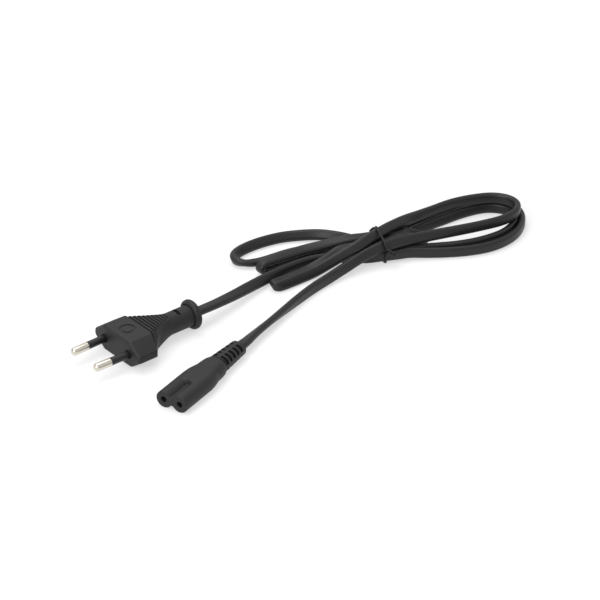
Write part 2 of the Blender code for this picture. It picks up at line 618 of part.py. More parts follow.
def connector_rings():
    groove_end_share = 0.94
    taper_shares = ((0.0, 0.0), (0.25, 0.16), (0.5, 0.5), (0.75, 0.62), (0.9, 0.74), (1.0, 1.0))
    stations = [
        (0.0, NOSE_WIDTH - BODY_STEP, NOSE_HEIGHT - BODY_STEP, NOSE_WAIST - BODY_STEP, 0.0),
        (BODY_STEP, NOSE_WIDTH, NOSE_HEIGHT, NOSE_WAIST, 0.0),
        (WAIST_GROOVE_LENGTH * groove_end_share, NOSE_WIDTH, NOSE_HEIGHT, NOSE_WAIST, 0.0),
        (WAIST_GROOVE_LENGTH, NOSE_WIDTH, NOSE_HEIGHT, NOSE_WAIST, 1.0),
    ]
    taper_start = BODY_LENGTH - BODY_TAPER
    spread = NOSE_WIDTH - RELIEF_WIDTH - 2 * BODY_STEP
    for share, narrowing in taper_shares:
        width = NOSE_WIDTH - spread * narrowing
        stations.append((taper_start + BODY_TAPER * share, width, NOSE_HEIGHT, NOSE_WAIST, 1.0))
    rings = []
    for x, width, height, waist, across in stations:
        rings.append([(x, y, z) for y, z in figure_eight(width, height, waist, across)])
    return rings


def relief_mesh():
    """The tapered strain relief, ending in a round-edged collar."""
    start = BODY_LENGTH - OVERRUN
    end = BODY_LENGTH + RELIEF_LENGTH
    rounding = BODY_STEP * 2
    edge_shares = ((1.0, 0.0), (0.3, 0.6), (0.0, 2.0))
    corner_share = 0.36
    stations = [(start, RELIEF_WIDTH, RELIEF_HEIGHT), (BODY_LENGTH, RELIEF_WIDTH, RELIEF_HEIGHT)]
    for along_share, in_share in edge_shares:
        drawn_in = rounding * in_share
        stations.append(
            (end - rounding * along_share, RELIEF_END_WIDTH - drawn_in, RELIEF_END_HEIGHT - drawn_in)
        )
    rings = []
    for x, width, height in stations:
        outline = rounded_rectangle(width, height, height * corner_share)
        rings.append([(x, y, z) for y, z in outline])
    return loft(rings, "relief")


def relief_slots():
    """Rows of slots on the top, the bottom and both sides, with a web left at each corner."""
    slots = []
    run = RELIEF_LENGTH - RELIEF_COLLAR
    pitch = run / RELIEF_ROWS
    for k in range(RELIEF_ROWS):
        x = BODY_LENGTH + pitch * (k + 0.5)
        t = (x - BODY_LENGTH) / RELIEF_LENGTH
        width = RELIEF_WIDTH + (RELIEF_END_WIDTH - RELIEF_WIDTH) * t
        height = RELIEF_HEIGHT + (RELIEF_END_HEIGHT - RELIEF_HEIGHT) * t
        deep = 2 * RELIEF_SLOT_DEPTH
        flat = block(RELIEF_SLOT_WIDTH, width - 2 * RELIEF_WEB, deep, 0.0, "slot", -RELIEF_SLOT_WIDTH / 2)
        upright = block(RELIEF_SLOT_WIDTH, deep, height - 2 * RELIEF_WEB, 0.0, "slot", -RELIEF_SLOT_WIDTH / 2)
        for side in (1, -1):
            slots.append((flat, Matrix.Translation((x, 0.0, side * height / 2))))
            slots.append((upright, Matrix.Translation((x, side * width / 2, 0.0))))
    return joined(slots, "relief_slots")


def build_connector(parent, looks):
    body = place("connector_body", loft(connector_rings(), "connector_body"), parent, looks["moulding"])
    boolean(body, place("strain_relief", relief_mesh(), parent, helper=True), "UNION")
    boolean(body, place("relief_slots", relief_slots(), parent, helper=True))
    pocket = block(
        CONTACT_CARRIER_LENGTH + CONTACT_ROOM + 2 * GAP, CONTACT_CARRIER_WIDTH + 2 * GAP,
        CONTACT_CARRIER_HEIGHT + 2 * GAP, CONTACT_CARRIER_HEIGHT / 2, "contact_pocket", FACE_WALL - GAP,
    )
    boolean(body, place("contact_pocket", pocket, parent, helper=True))
    bore_start = FACE_WALL + CONTACT_CARRIER_LENGTH + CONTACT_ROOM / 2
    bore = block(
        BODY_LENGTH + RELIEF_LENGTH - bore_start + OVERRUN, FLEX_WIDTH, FLEX_THICKNESS,
        FLEX_THICKNESS / 2, "relief_bore", bore_start,
    )
    boolean(body, place("relief_bore", bore, parent, helper=True))
    entries = []
    for side in (1, -1):
        entry = turned(
            [(-OVERRUN, HOLE_DIAMETER / 2), (FACE_WALL + OVERRUN, HOLE_DIAMETER / 2)], "entry"
        )
        entries.append((entry, Matrix.Translation((0.0, side * HOLE_SPACING / 2, 0.0))))
    boolean(body, place("entries", joined(entries, "entries"), parent, helper=True))

    carrier = place(
        "contact_carrier",
        block(
            CONTACT_CARRIER_LENGTH, CONTACT_CARRIER_WIDTH, CONTACT_CARRIER_HEIGHT,
            CONTACT_CARRIER_HEIGHT / 2, "contact_carrier", FACE_WALL,
        ),
        parent, looks["carrier"],
    )
    bores = []
    bore_radius = CONTACT_DIAMETER / 2 + GAP
    for side in (1, -1):
        drill = turned(
            [
                (FACE_WALL - OVERRUN, bore_radius),
                (FACE_WALL + CONTACT_CARRIER_LENGTH + OVERRUN, bore_radius),
            ],
            "contact_bore",
        )
        bores.append((drill, Matrix.Translation((0.0, side * HOLE_SPACING / 2, 0.0))))
    boolean(carrier, place("contact_bores", joined(bores, "contact_bores"), parent, helper=True))

    contact_start = FACE_WALL + GAP
    contact_end = contact_start + CONTACT_LENGTH
    slit = block(
        CONTACT_LENGTH / 2 + OVERRUN, CONTACT_SLIT, CONTACT_DIAMETER, 0.0, "slit", contact_start - OVERRUN
    )
    for side, label in ((1, "live"), (-1, "neutral")):
        seat = frame(f"contact_seat_{label}", parent, (0.0, side * HOLE_SPACING / 2, 0.0))
        contact = place(
            f"contact_{label}",
            tube(
                CONTACT_LENGTH, CONTACT_DIAMETER / 2, CONTACT_DIAMETER / 2 - CONTACT_WALL,
                f"contact_{label}", contact_start,
            ),
            seat, looks["brass"],
        )
        cutter = joined([(slit, Matrix.Translation((0.0, 0.0, CONTACT_DIAMETER / 2)))], "slit")
        boolean(contact, place(f"contact_slit_{label}", cutter, seat, helper=True))
        outer, inner = HOLE_SPACING / 2, CORE_SPACING / 2
        room_start = FACE_WALL + CONTACT_CARRIER_LENGTH
        straight_share = 0.8
        path = [
            (contact_end - CORE_DIAMETER, side * outer, 0.0),
            (contact_end + CORE_DIAMETER * straight_share, side * outer, 0.0),
        ]
        spread_shares = ((0.3, 0.62), (0.8, 0.04))
        for along_share, across_share in spread_shares:
            across = inner + (outer - inner) * across_share
            path.append((room_start + CONTACT_ROOM * along_share, side * across, 0.0))
        path.extend([(BODY_LENGTH, side * inner, 0.0), (BODY_LENGTH + RELIEF_LENGTH, side * inner, 0.0)])
        build_core(f"connector_core_{label}", parent, looks[label], path)


# Flex: two free leads and the tied bundle


def build_flex(parent, looks):
    """The leads stop just short of the bundle, which is one solid of all the loops and the tied waist."""
    widening = FLEX_WIDTH - FLEX_THICKNESS
    half_section = FLEX_THICKNESS / 2
    steps = 32
    for name, stretch, start_stop in (
        ("flex_plug_lead", "plug lead", PLUG_LEAD_ENDS),
        ("flex_connector_lead", "connector lead", CONNECTOR_LEAD_ENDS),
    ):
        chain = smooth_route(ROUTE[stretch], LEAD_SPACING / steps)
        free = [point for point in chain if start_stop[0] <= point.x <= start_stop[1]]
        spaced = free[::steps] + ([free[-1]] if (len(free) - 1) % steps else [])
        run_curve(name, spaced, half_section, parent, looks["flex"], widening)
    hank = place("flex_hank", waist_mesh(), parent, looks["flex"])
    stretches = list(ROUTE)
    for number in range(1, len(stretches) - 1):
        points = ROUTE[stretches[number]] + ROUTE[stretches[number + 1]][:1]
        name = f"loop_{number}"
        guide = run_curve(
            name, smooth_route(points, HANK_SPACING), half_section, None, looks["flex"], widening, 1
        )
        bpy.context.view_layer.update()
        graph = bpy.context.evaluated_depsgraph_get()
        bm = bmesh.new()
        bm.from_mesh(bpy.data.meshes.new_from_object(guide.evaluated_get(graph)))
        bmesh.ops.remove_doubles(bm, verts=bm.verts, dist=GAP / 10)
        bpy.data.objects.remove(guide, do_unlink=True)
        strand = place(name, mesh_from(bm, name), parent, helper=True)
        boolean(hank, strand, "UNION")


def waist_mesh():
    """The bundle where the tie holds it, as one bar with round corners."""
    width = WAIST_FAR - WAIST_NEAR
    outline = rounded_rectangle(width, WAIST_HEIGHT, WAIST_CORNER)
    middle_y = (WAIST_FAR + WAIST_NEAR) / 2
    middle_z = WAIST_LOW + WAIST_HEIGHT / 2
    ends = (WAIST_PLACE - WAIST_LENGTH / 2, WAIST_PLACE + WAIST_LENGTH / 2)
    return loft([[(x, middle_y + y, middle_z + z) for y, z in outline] for x in ends], "flex_hank")


# Twist tie


def build_tie(parent, looks):
    """One wire laid round the bundle, its two ends twisted together down the near side."""
    ring = [Vector((x, y, z)) * MM for x, y, z in TIE_RING]
    root, tip = (Vector(point) * MM for point in TIE_TWIST)
    out = (tip - root).normalized()
    side = out.cross(Vector((0.0, 0.0, 1.0))).normalized()
    up = side.cross(out)
    steps = 12
    tails = []
    for phase in (math.pi, 0.0):
        tail = []
        for k in range(steps + 1):
            t = k / steps
            a = phase + 2 * math.pi * TIE_TWIST_TURNS * t
            offset = side * math.sin(a) + up * math.cos(a)
            tail.append(root.lerp(tip, t) + offset * TIE_TWIST_REACH)
        tails.append(tail)
    chain = [*reversed(tails[1]), *ring, *tails[0]]
    corners = [(*(point / MM), 0.0) for point in chain]
    run_curve("twist_tie", smooth_route(corners, TIE_SPACING), TIE_WIRE / 2, parent, looks["tie"])


def build():
    clear_scene()
    looks = {
        "moulding": material("black PVC moulding", (0.035, 0.035, 0.037), 0.55),
        "flex": material("black PVC flex", (0.03, 0.03, 0.032), 0.45),
        "sleeve": material("pin sleeve", (0.03, 0.03, 0.03), 0.5),
        "nickel": material("nickelled brass", (0.75, 0.72, 0.66), 0.22, 1.0),
        "carrier": material("carrier nylon", (0.55, 0.55, 0.52), 0.5),
        "brass": material("brass contact", (0.72, 0.53, 0.25), 0.3, 1.0),
        "live": material("brown core", (0.16, 0.06, 0.025), 0.5),
        "neutral": material("blue core", (0.03, 0.1, 0.35), 0.5),
        "tie": material("coated tie wire", (0.02, 0.02, 0.02), 0.4),
    }
    root = frame("power_cord")
    axis_reach = NECK_END + FLANGE_THICKNESS / 2
    tilt = math.asin((FLANGE_DIAMETER - BLOCK_HEIGHT) / 2 / axis_reach)
    plug = frame("plug", root, (0.0, 0.0, BLOCK_HEIGHT / 2 * math.cos(tilt)), (0.0, -tilt, 0.0))
    build_plug(plug, looks)
    nose_rest = NOSE_HEIGHT / 2
    connector = frame(
        "connector", root, (CONNECTOR_AHEAD, CONNECTOR_ASIDE, nose_rest), (0.0, 0.0, CONNECTOR_TURN)
    )
    build_connector(connector, looks)
    build_flex(root, looks)
    build_tie(root, looks)
    stand_at_origin(root, (plug, connector))


def stand_at_origin(root, assemblies):
    """Moves the whole cord so that the box round plug and connector has its bottom centre at zero."""
    bpy.context.view_layer.update()
    graph = bpy.context.evaluated_depsgraph_get()
    points = []
    for assembly in assemblies:
        for obj in assembly.children_recursive:
            if obj.type == "MESH" and not obj.hide_render:
                shape = obj.evaluated_get(graph).to_mesh()
                points.extend(obj.matrix_world @ vertex.co for vertex in shape.vertices)
    low = Vector(min(p[axis] for p in points) for axis in range(3))
    high = Vector(max(p[axis] for p in points) for axis in range(3))
    root.location = -(low + high) / 2
    root.location.z = -low.z


build()
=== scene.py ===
"""Scene of a power cord: a moulded two-pin plug, folded and tied flat flex, and a figure-8 connector."""

import json
import math

import bmesh
import bpy
from mathutils import Matrix, Vector


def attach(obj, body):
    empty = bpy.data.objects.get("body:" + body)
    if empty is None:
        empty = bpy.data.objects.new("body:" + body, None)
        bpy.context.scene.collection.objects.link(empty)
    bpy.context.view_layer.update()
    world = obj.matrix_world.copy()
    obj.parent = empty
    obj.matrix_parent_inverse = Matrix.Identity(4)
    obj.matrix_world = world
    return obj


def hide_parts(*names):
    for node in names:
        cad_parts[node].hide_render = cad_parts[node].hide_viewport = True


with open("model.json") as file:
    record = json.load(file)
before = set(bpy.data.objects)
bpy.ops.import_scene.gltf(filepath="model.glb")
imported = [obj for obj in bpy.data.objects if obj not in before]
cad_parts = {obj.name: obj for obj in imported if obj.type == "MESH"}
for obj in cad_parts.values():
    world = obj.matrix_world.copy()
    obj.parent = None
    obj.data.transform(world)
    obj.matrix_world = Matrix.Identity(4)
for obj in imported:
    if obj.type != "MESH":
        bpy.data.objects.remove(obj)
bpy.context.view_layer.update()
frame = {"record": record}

# Flex. Flat twin mains flex: two stranded copper conductors lie side by side in one extruded PVC sheath.
# It runs from the plug to the connector in one length, folded by hand into a loose bundle of loops.

MM = 0.001
FLEX_WIDTH = 5.6
FLEX_THICKNESS = 3.4
FLEX_STEP = 0.6  # between the sections of the swept sheath
ROUTE_SAMPLES = 24  # from one chosen point to the next, before they are spaced evenly
PLUG_FACE, CONNECTOR_FACE = frame["record"]["mounts"]
# From the plug's frame, with x from its pin face and z up from the floor, to the scene
FLOOR_PLACE = Matrix.Translation((PLUG_FACE["pos_m"][0], PLUG_FACE["pos_m"][1], 0.0)) @ Matrix.Scale(MM, 4)

# x, y and z in millimetres, and the turn of the wide side in degrees, 0 where it lies flat, 90 on edge
FLEX_ROUTE = [
    # plug lead
    (45.45, 0, 7.73, 0), (47.5, 0, 7.74, 0), (51, 0.2, 7.6, 0), (60, 1.5, 6.8, 5),
    (72, 4, 5.6, 20), (86, 7.5, 4.2, 45),
    (100, 10.2, 3.2, 70), (112, 11.2, 2.9, 88), (124, 10.2, 2.9, 90), (133.1, 6.9, 2.8, 90),
    (140, 1.6, 2.9, 90), (147, -5, 3.1, 90), (153, -9.6, 4, 90),
    # big lower loop
    (160, -12.8, 3.9, 90), (166.5, -15.4, 3.7, 90), (174, -20.2, 3.1, 90), (182, -25.6, 2.9, 90),
    (191, -30.8, 2.9, 90), (201, -34.4, 2.9, 90), (211, -35, 2.9, 90), (220.5, -32.8, 2.9, 90),
    (229, -27.6, 2.9, 90), (235, -20.6, 2.9, 90), (237.4, -12.6, 2.9, 90), (236.4, -4.8, 2.9, 90),
    (231, 1.4, 2.9, 90), (221, 5.6, 2.9, 90), (209, 7, 2.9, 90), (196, 6.8, 2.9, 90),
    (184, 5.7, 2.9, 90), (171.7, 3.7, 3.3, 90),
    # outer left loop
    (160.3, -1, 4.3, 90), (156, 4.1, 4.2, 92), (152.2, 10.9, 4.2, 100), (148.8, 19.4, 3.6, 115),
    (143.6, 27.2, 3.2, 125), (136, 33.4, 2.8, 132), (127, 37.8, 2.7, 134), (116, 40, 2.7, 132),
    (106, 39.8, 2.8, 122), (99.4, 37.9, 2.9, 110), (96.6, 35, 2.8, 112), (96.9, 31.6, 2.6, 130),
    (100.2, 28.4, 2.2, 158), (106, 26.3, 1.9, 172), (113, 25.3, 1.8, 178), (121, 24.4, 1.8, 178),
    (130.9, 21.9, 1.9, 172), (140, 18, 2.3, 150), (147, 12.2, 2.9, 110), (150.9, 4.8, 3.1, 90),
    (154.8, -1.3, 4.1, 90),
    # inner lower loop
    (160.1, -5.1, 4.1, 90), (167.1, -2.3, 3.5, 90), (177, 0.3, 2.9, 85), (189, 0.8, 2.9, 78),
    (201, 0.6, 2.8, 72), (214.5, -0.2, 2.8, 72), (225.5, -3, 2.8, 75), (231.6, -8.3, 2.8, 80),
    (233.6, -15.2, 2.8, 85), (230.5, -21.5, 2.9, 90), (223.4, -26.6, 2.9, 90), (213.4, -29.2, 2.9, 90),
    (201, -27.8, 2.9, 90), (190, -24, 2.9, 90), (180, -18.6, 2.9, 90), (172, -14.4, 3.2, 90),
    (166.1, -11.2, 3.8, 90),
    # flat left fold
    (159.9, -9.1, 4.3, 90), (154.8, -6.3, 4.1, 90), (150.6, -2.4, 3.3, 90), (145.9, 2.3, 3, 90),
    (140.7, 8.2, 2.8, 102), (134.2, 13.4, 2.5, 135), (127, 16.4, 2, 165), (117, 18.3, 1.8, 180),
    (107, 18.6, 1.9, 180), (101.7, 18.6, 1.9, 180), (99.8, 18.6, 3.75, 180), (101.7, 18.6, 5.6, 180),
    (106.5, 18.6, 5.6, 187), (112, 18.2, 5.6, 197), (118, 17.5, 5.7, 204), (125, 16.3, 5.9, 208),
    (133.8, 12.8, 6.8, 210), (144.9, 7.9, 8.2, 200), (153, 4, 8.5, 185),
    # short loop
    (160, 0.8, 8.9, 180), (166, -0.7, 8.6, 182), (171, -2.6, 8, 190), (176, -4.2, 6.1, 230),
    (180.6, -5.4, 4, 262), (182.8, -7.4, 3.1, 270), (180.8, -9.4, 3.9, 276), (176, -9.9, 5.6, 295),
    (171, -9, 7.6, 325), (166, -7, 8.6, 350),
    # edge left fold
    (160, -5.1, 8.7, 360), (153, -3.6, 8.4, 356), (146.5, -0.8, 7.9, 350), (140.5, 1.8, 7.7, 345),
    (135.5, 3, 7, 325), (128.9, 4.1, 4.3, 325), (119, 5, 2.1, 345), (109, 5, 1.9, 352),
    (100.5, 4.9, 2.1, 342), (97.2, 4.2, 2.5, 318), (96.1, 2.7, 2.8, 290), (97, 1.3, 2.8, 268),
    (99.6, 0.7, 2.8, 252), (109, 0.7, 2.7, 243), (119, 0.4, 3.2, 240), (128, -0.8, 5.6, 238),
    (135, -2.6, 8.4, 235), (141.5, -4.1, 10.8, 228), (148, -4, 12, 220),
    # top loop
    (156, -3, 12.6, 213), (163, -1.8, 12.6, 213), (171, -0.8, 12.3, 218), (178, 0.6, 11.2, 238),
    (186, 1.9, 9.9, 258), (195, 2.5, 9.1, 268), (208, 2, 8.9, 270), (219, -1, 8.9, 270),
    (228.2, -5.8, 8.9, 270), (233, -12.4, 8.9, 270), (232.8, -19.6, 8.9, 270),
    (227.2, -24.8, 8.8, 270), (217.6, -26.2, 8.7, 270), (205, -23.6, 8.7, 270), (192, -19.6, 8.7, 275),
    (180, -15.8, 8.8, 290), (170, -12.9, 9, 304),
    # connector lead
    (160, -11, 9.4, 312), (151, -9.5, 9.1, 314), (141, -8.1, 6.9, 302), (131, -8, 4.6, 290),
    (120, -9, 3.2, 282), (108, -11.2, 2.8, 276), (95, -15, 2.8, 262), (82, -19.4, 3, 240),
    (70, -23.8, 3.4, 226), (60, -27.6, 3.8, 214), (52.8, -30.7, 4.1, 195), (49.4, -31.93, 4.2, 183),
    (46.62, -32.88, 4.2, 180),
]


def linear(code):
    """An sRGB hex colour as linear red, green, blue and alpha."""
    channels = [int(code[k : k + 2], 16) / 255 for k in (1, 3, 5)]
    return (*[c / 12.92 if c <= 0.04045 else ((c + 0.055) / 1.055) ** 2.4 for c in channels], 1.0)


def add(tree, kind, settings, inputs):
    """Adds a node with its settings, and gives its inputs values or links from other nodes' sockets."""
    node = tree.nodes.new(kind)
    for name, value in settings.items():
        setattr(node, name, value)
    for key, value in inputs.items():
        if isinstance(value, bpy.types.NodeSocket):
            tree.links.new(value, node.inputs[key])
        else:
            node.inputs[key].default_value = value
    return node


def new_material(name, colour, values):
    """A material whose constant values stand on its shader's own sockets."""
    made = bpy.data.materials.new(name)
    made.use_nodes = True
    shader = made.node_tree.nodes["Principled BSDF"]
    shader.inputs["Base Color"].default_value = linear(colour)
    for key, value in values.items():
        shader.inputs[key].default_value = value
    return made, made.node_tree, shader


def smooth_route(points, spacing):
    """Evenly spaced points, with turns, of a Catmull-Rom curve through the chosen ones, and its length."""
    chosen = [Vector((*point[:3], math.radians(point[3]))) for point in points]
    ends = [2 * chosen[0] - chosen[1], *chosen, 2 * chosen[-1] - chosen[-2]]
    fine = []
    for a, b, c, d in zip(ends, ends[1:], ends[2:], ends[3:]):
        for k in range(ROUTE_SAMPLES):
            t = k / ROUTE_SAMPLES
            near = 2 * b + (c - a) * t
            far = (2 * a - 5 * b + 4 * c - d) * t**2 + (3 * b - a - 3 * c + d) * t**3
            fine.append((near + far) / 2)
    fine.append(chosen[-1])
    reached = [0.0]
    for p, q in zip(fine, fine[1:]):
        reached.append(reached[-1] + (q - p).xyz.length)
    steps = round(reached[-1] / spacing)
    chain = []
    at = 0
    for k in range(steps + 1):
        target = reached[-1] * k / steps
        while at < len(fine) - 2 and reached[at + 1] < target:
            at += 1
        chain.append(fine[at].lerp(fine[at + 1], (target - reached[at]) / (reached[at + 1] - reached[at])))
    return chain, reached[-1]


def path_curve(name, chain, place, twist="Z_UP"):
    """A poly curve through a chain of points, each tilted by its turn.

    Where a fold passes the vertical, the curve's own frame flips. A half turn, which leaves the section as
    it is, is added there.
    """
    curve = bpy.data.curves.new(name, "CURVE")
    curve.dimensions = "3D"
    curve.twist_mode = twist
    spline = curve.splines.new("POLY")
    spline.points.add(len(chain) - 1)
    last_wide = None
    for k, (point, (x, y, z, turn)) in enumerate(zip(spline.points, chain)):
        ahead = (chain[min(k + 1, len(chain) - 1)].xyz - chain[max(k - 1, 0)].xyz).normalized()
        side = Vector((-ahead.y, ahead.x, 0.0)).normalized()
        wide = side * math.cos(turn) + ahead.cross(side) * math.sin(turn)
        if twist == "Z_UP" and last_wide and wide.dot(last_wide) < 0:
            wide = -wide
            turn += math.pi
        last_wide = wide
        point.co = (*(place @ Vector((x, y, z))), 1.0)
        point.tilt = turn
    holder = bpy.data.objects.new(name, curve)
    bpy.context.collection.objects.link(holder)
    return holder


def node_group(name, sizes):
    """An empty Geometry Nodes tree with one geometry input and named sizes."""
    tree = bpy.data.node_groups.new(name, "GeometryNodeTree")
    tree.interface.new_socket("Geometry", in_out="INPUT", socket_type="NodeSocketGeometry")
    for label, kind in sizes.items():
        tree.interface.new_socket(label, in_out="INPUT", socket_type=kind)
    tree.interface.new_socket("Geometry", in_out="OUTPUT", socket_type="NodeSocketGeometry")
    return tree


SWEPT_EDGE = math.radians(50.0)  # past which an edge of a swept piece stays hard


def baked(holder, tree, values, name):
    """Runs a Geometry Nodes tree on a holder, and keeps what it makes as a plain mesh."""
    modifier = holder.modifiers.new(tree.name, "NODES")
    modifier.node_group = tree
    for item in tree.interface.items_tree:
        if item.in_out == "INPUT" and item.name in values:
            modifier[item.identifier] = values[item.name]
    bpy.context.view_layer.update()
    graph = bpy.context.evaluated_depsgraph_get()
    mesh = bpy.data.meshes.new_from_object(holder.evaluated_get(graph))
    bpy.data.objects.remove(holder, do_unlink=True)
    mesh.name = name
    mesh.shade_smooth()
    mesh.set_sharp_from_angle(angle=SWEPT_EDGE)
    made = bpy.data.objects.new(name, mesh)
    bpy.context.collection.objects.link(made)
    return made


# Soft black PVC, drawn through a die: satin, with faint lines along its length and a slight orange peel
sheath_pvc, tree, shader = new_material(
    "extruded PVC sheath", "#19191b", {"Roughness": 0.42, "IOR": 1.5, "Specular IOR Level": 0.38}
)
DIE_LINE_WIDTH = 0.35  # millimetres across the sheath
DIE_LINE_LENGTH = 30.0
PEEL_SIZE = 0.5
SHEATH_RELIEF = 0.05  # depth of the lines and of the peel
SHEATH_POLISH = (0.36, 0.5)  # roughness, from the smoothest line to the dullest
along = add(tree, "ShaderNodeAttribute", {"attribute_name": "along"}, {})
around = add(tree, "ShaderNodeAttribute", {"attribute_name": "around"}, {})
across_lines = add(
    tree, "ShaderNodeMath", {"operation": "MULTIPLY"},
    {0: around.outputs["Fac"], 1: 2 * (FLEX_WIDTH + FLEX_THICKNESS) / DIE_LINE_WIDTH},
)
along_lines = add(
    tree, "ShaderNodeMath", {"operation": "DIVIDE"}, {0: along.outputs["Fac"], 1: DIE_LINE_LENGTH * MM}
)
line_place = add(
    tree, "ShaderNodeCombineXYZ", {}, {"X": across_lines.outputs[0], "Y": along_lines.outputs[0]}
)
die_lines = add(
    tree, "ShaderNodeTexNoise", {}, {"Vector": line_place.outputs[0], "Scale": 1.0, "Detail": 2.0}
)
coords = add(tree, "ShaderNodeTexCoord", {}, {})
peel = add(
    tree, "ShaderNodeTexNoise", {},
    {"Vector": coords.outputs["Object"], "Scale": 1 / (PEEL_SIZE * MM), "Detail": 2.0},
)
line_bump = add(
    tree, "ShaderNodeBump", {},
    {"Strength": 0.25, "Distance": SHEATH_RELIEF * MM, "Height": die_lines.outputs["Fac"]},
)
peel_bump = add(
    tree, "ShaderNodeBump", {},
    {
        "Strength": 0.25, "Distance": SHEATH_RELIEF * MM, "Height": peel.outputs["Fac"],
        "Normal": line_bump.outputs["Normal"],
    },
)
tree.links.new(peel_bump.outputs["Normal"], shader.inputs["Normal"])
wear = add(
    tree, "ShaderNodeMapRange", {},
    {"Value": die_lines.outputs["Fac"], "To Min": SHEATH_POLISH[0], "To Max": SHEATH_POLISH[1]},
)
tree.links.new(wear.outputs["Result"], shader.inputs["Roughness"])

sweep = node_group(
    "flat sheath sweep",
    {"Width": "NodeSocketFloat", "Thickness": "NodeSocketFloat", "Finish": "NodeSocketMaterial"},
)
given = add(sweep, "NodeGroupInput", {}, {})
route_place = add(sweep, "GeometryNodeSplineParameter", {}, {})
marked = add(
    sweep, "GeometryNodeStoreNamedAttribute", {"data_type": "FLOAT", "domain": "POINT"},
    {"Geometry": given.outputs["Geometry"], "Name": "along", "Value": route_place.outputs["Length"]},
)
outline = add(
    sweep, "GeometryNodeCurvePrimitiveQuadrilateral", {},
    {"Width": given.outputs["Width"], "Height": given.outputs["Thickness"]},
)
EDGE_SHARE = 0.4999  # of the thickness, as a full half would leave no straight edge between the rounds
EDGE_STEPS = 7
half = add(
    sweep, "ShaderNodeMath", {"operation": "MULTIPLY"}, {0: given.outputs["Thickness"], 1: EDGE_SHARE}
)
rounded = add(
    sweep, "GeometryNodeFilletCurve", {"mode": "POLY"},
    {"Curve": outline.outputs["Curve"], "Count": EDGE_STEPS, "Radius": half.outputs[0]},
)
section_place = add(sweep, "GeometryNodeSplineParameter", {}, {})
section = add(
    sweep, "GeometryNodeStoreNamedAttribute", {"data_type": "FLOAT", "domain": "POINT"},
    {"Geometry": rounded.outputs["Curve"], "Name": "around", "Value": section_place.outputs["Factor"]},
)
swept = add(
    sweep, "GeometryNodeCurveToMesh", {},
    {
        "Curve": marked.outputs["Geometry"], "Profile Curve": section.outputs["Geometry"],
        "Fill Caps": True,
    },
)
real = add(sweep, "GeometryNodeRealizeInstances", {}, {"Geometry": swept.outputs["Mesh"]})
finished = add(
    sweep, "GeometryNodeSetMaterial", {},
    {"Geometry": real.outputs["Geometry"], "Material": given.outputs["Finish"]},
)
add(sweep, "NodeGroupOutput", {}, {"Geometry": finished.outputs["Geometry"]})

route, route_length = smooth_route(FLEX_ROUTE, FLEX_STEP)
flex = baked(
    path_curve("flat_flex", route, FLOOR_PLACE), sweep,
    {"Width": FLEX_WIDTH * MM, "Thickness": FLEX_THICKNESS * MM, "Finish": sheath_pvc}, "flat_flex",
)
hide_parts("flex_plug_lead", "flex_hank", "flex_connector_lead")
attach(flex, "root")

# Plug pins. Two solid brass pins turned on a lathe, their tips rounded, and nickel plated all over.
# Each one's thinner shank passes through its sleeve and the carrier, to a cup crimped on a conductor.

PIN_LENGTH = 19.0
PIN_DIAMETER = 4.0
PIN_SPACING = 18.6
PIN_LEAN = math.radians(1.4)  # towards each other at their tips
PIN_SLEEVE = 10.0
PIN_SHANK = 1.3  # radius
PIN_ROOT = 11.0
PIN_CRIMP = (1.3, 1.7)  # radii of the cup
CRIMP_START = 8.7
PIN_TIP_EASE = 0.8
PIN_TIP_STEPS = 10
PIN_EDGE = 0.1  # bevel of the shoulder next to the sleeve
FIT_GAP = 0.3  # between inner parts

face_axis = -Vector(PLUG_FACE["axis"])
plug_up = face_axis.cross(Vector((0.0, 1.0, 0.0))).normalized()
PLUG_PLACE = Matrix.Translation(PLUG_FACE["pos_m"]) @ Matrix(
    (face_axis, plug_up.cross(face_axis), plug_up)
).transposed().to_4x4() @ Matrix.Scale(MM, 4)
HARD_EDGE = math.radians(35.0)  # between faces, past which an edge stays hard


def piece_from(bm, name, made_of, place):
    """A finished object at the origin, with its place in its mesh."""
    bmesh.ops.recalc_face_normals(bm, faces=bm.faces)
    bmesh.ops.transform(bm, matrix=place, verts=bm.verts)
    mesh = bpy.data.meshes.new(name)
    bm.to_mesh(mesh)
    bm.free()
    mesh.shade_smooth()
    mesh.set_sharp_from_angle(angle=HARD_EDGE)
    mesh.materials.append(made_of)
    made = bpy.data.objects.new(name, mesh)
    bpy.context.collection.objects.link(made)
    return made


def turned(profile, segments=64):
    """A closed solid turned about X from points of x and radius."""
    bm = bmesh.new()
    rings = []
    for x, radius in profile:
        if radius == 0.0:
            rings.append([bm.verts.new((x, 0.0, 0.0))])
            continue
        angles = [2.0 * math.pi * k / segments for k in range(segments)]
        rings.append([bm.verts.new((x, radius * math.cos(a), radius * math.sin(a))) for a in angles])
    pairs = list(zip(rings, rings[1:]))
    if len(rings[0]) > 1:
        pairs.append((rings[-1], rings[0]))
    for low, high in pairs:
        for i in range(segments):
            j = (i + 1) % segments
            corners = [low[i % len(low)], low[j % len(low)], high[j % len(high)], high[i % len(high)]]
            bm.faces.new(list(dict.fromkeys(corners)))
    return bm


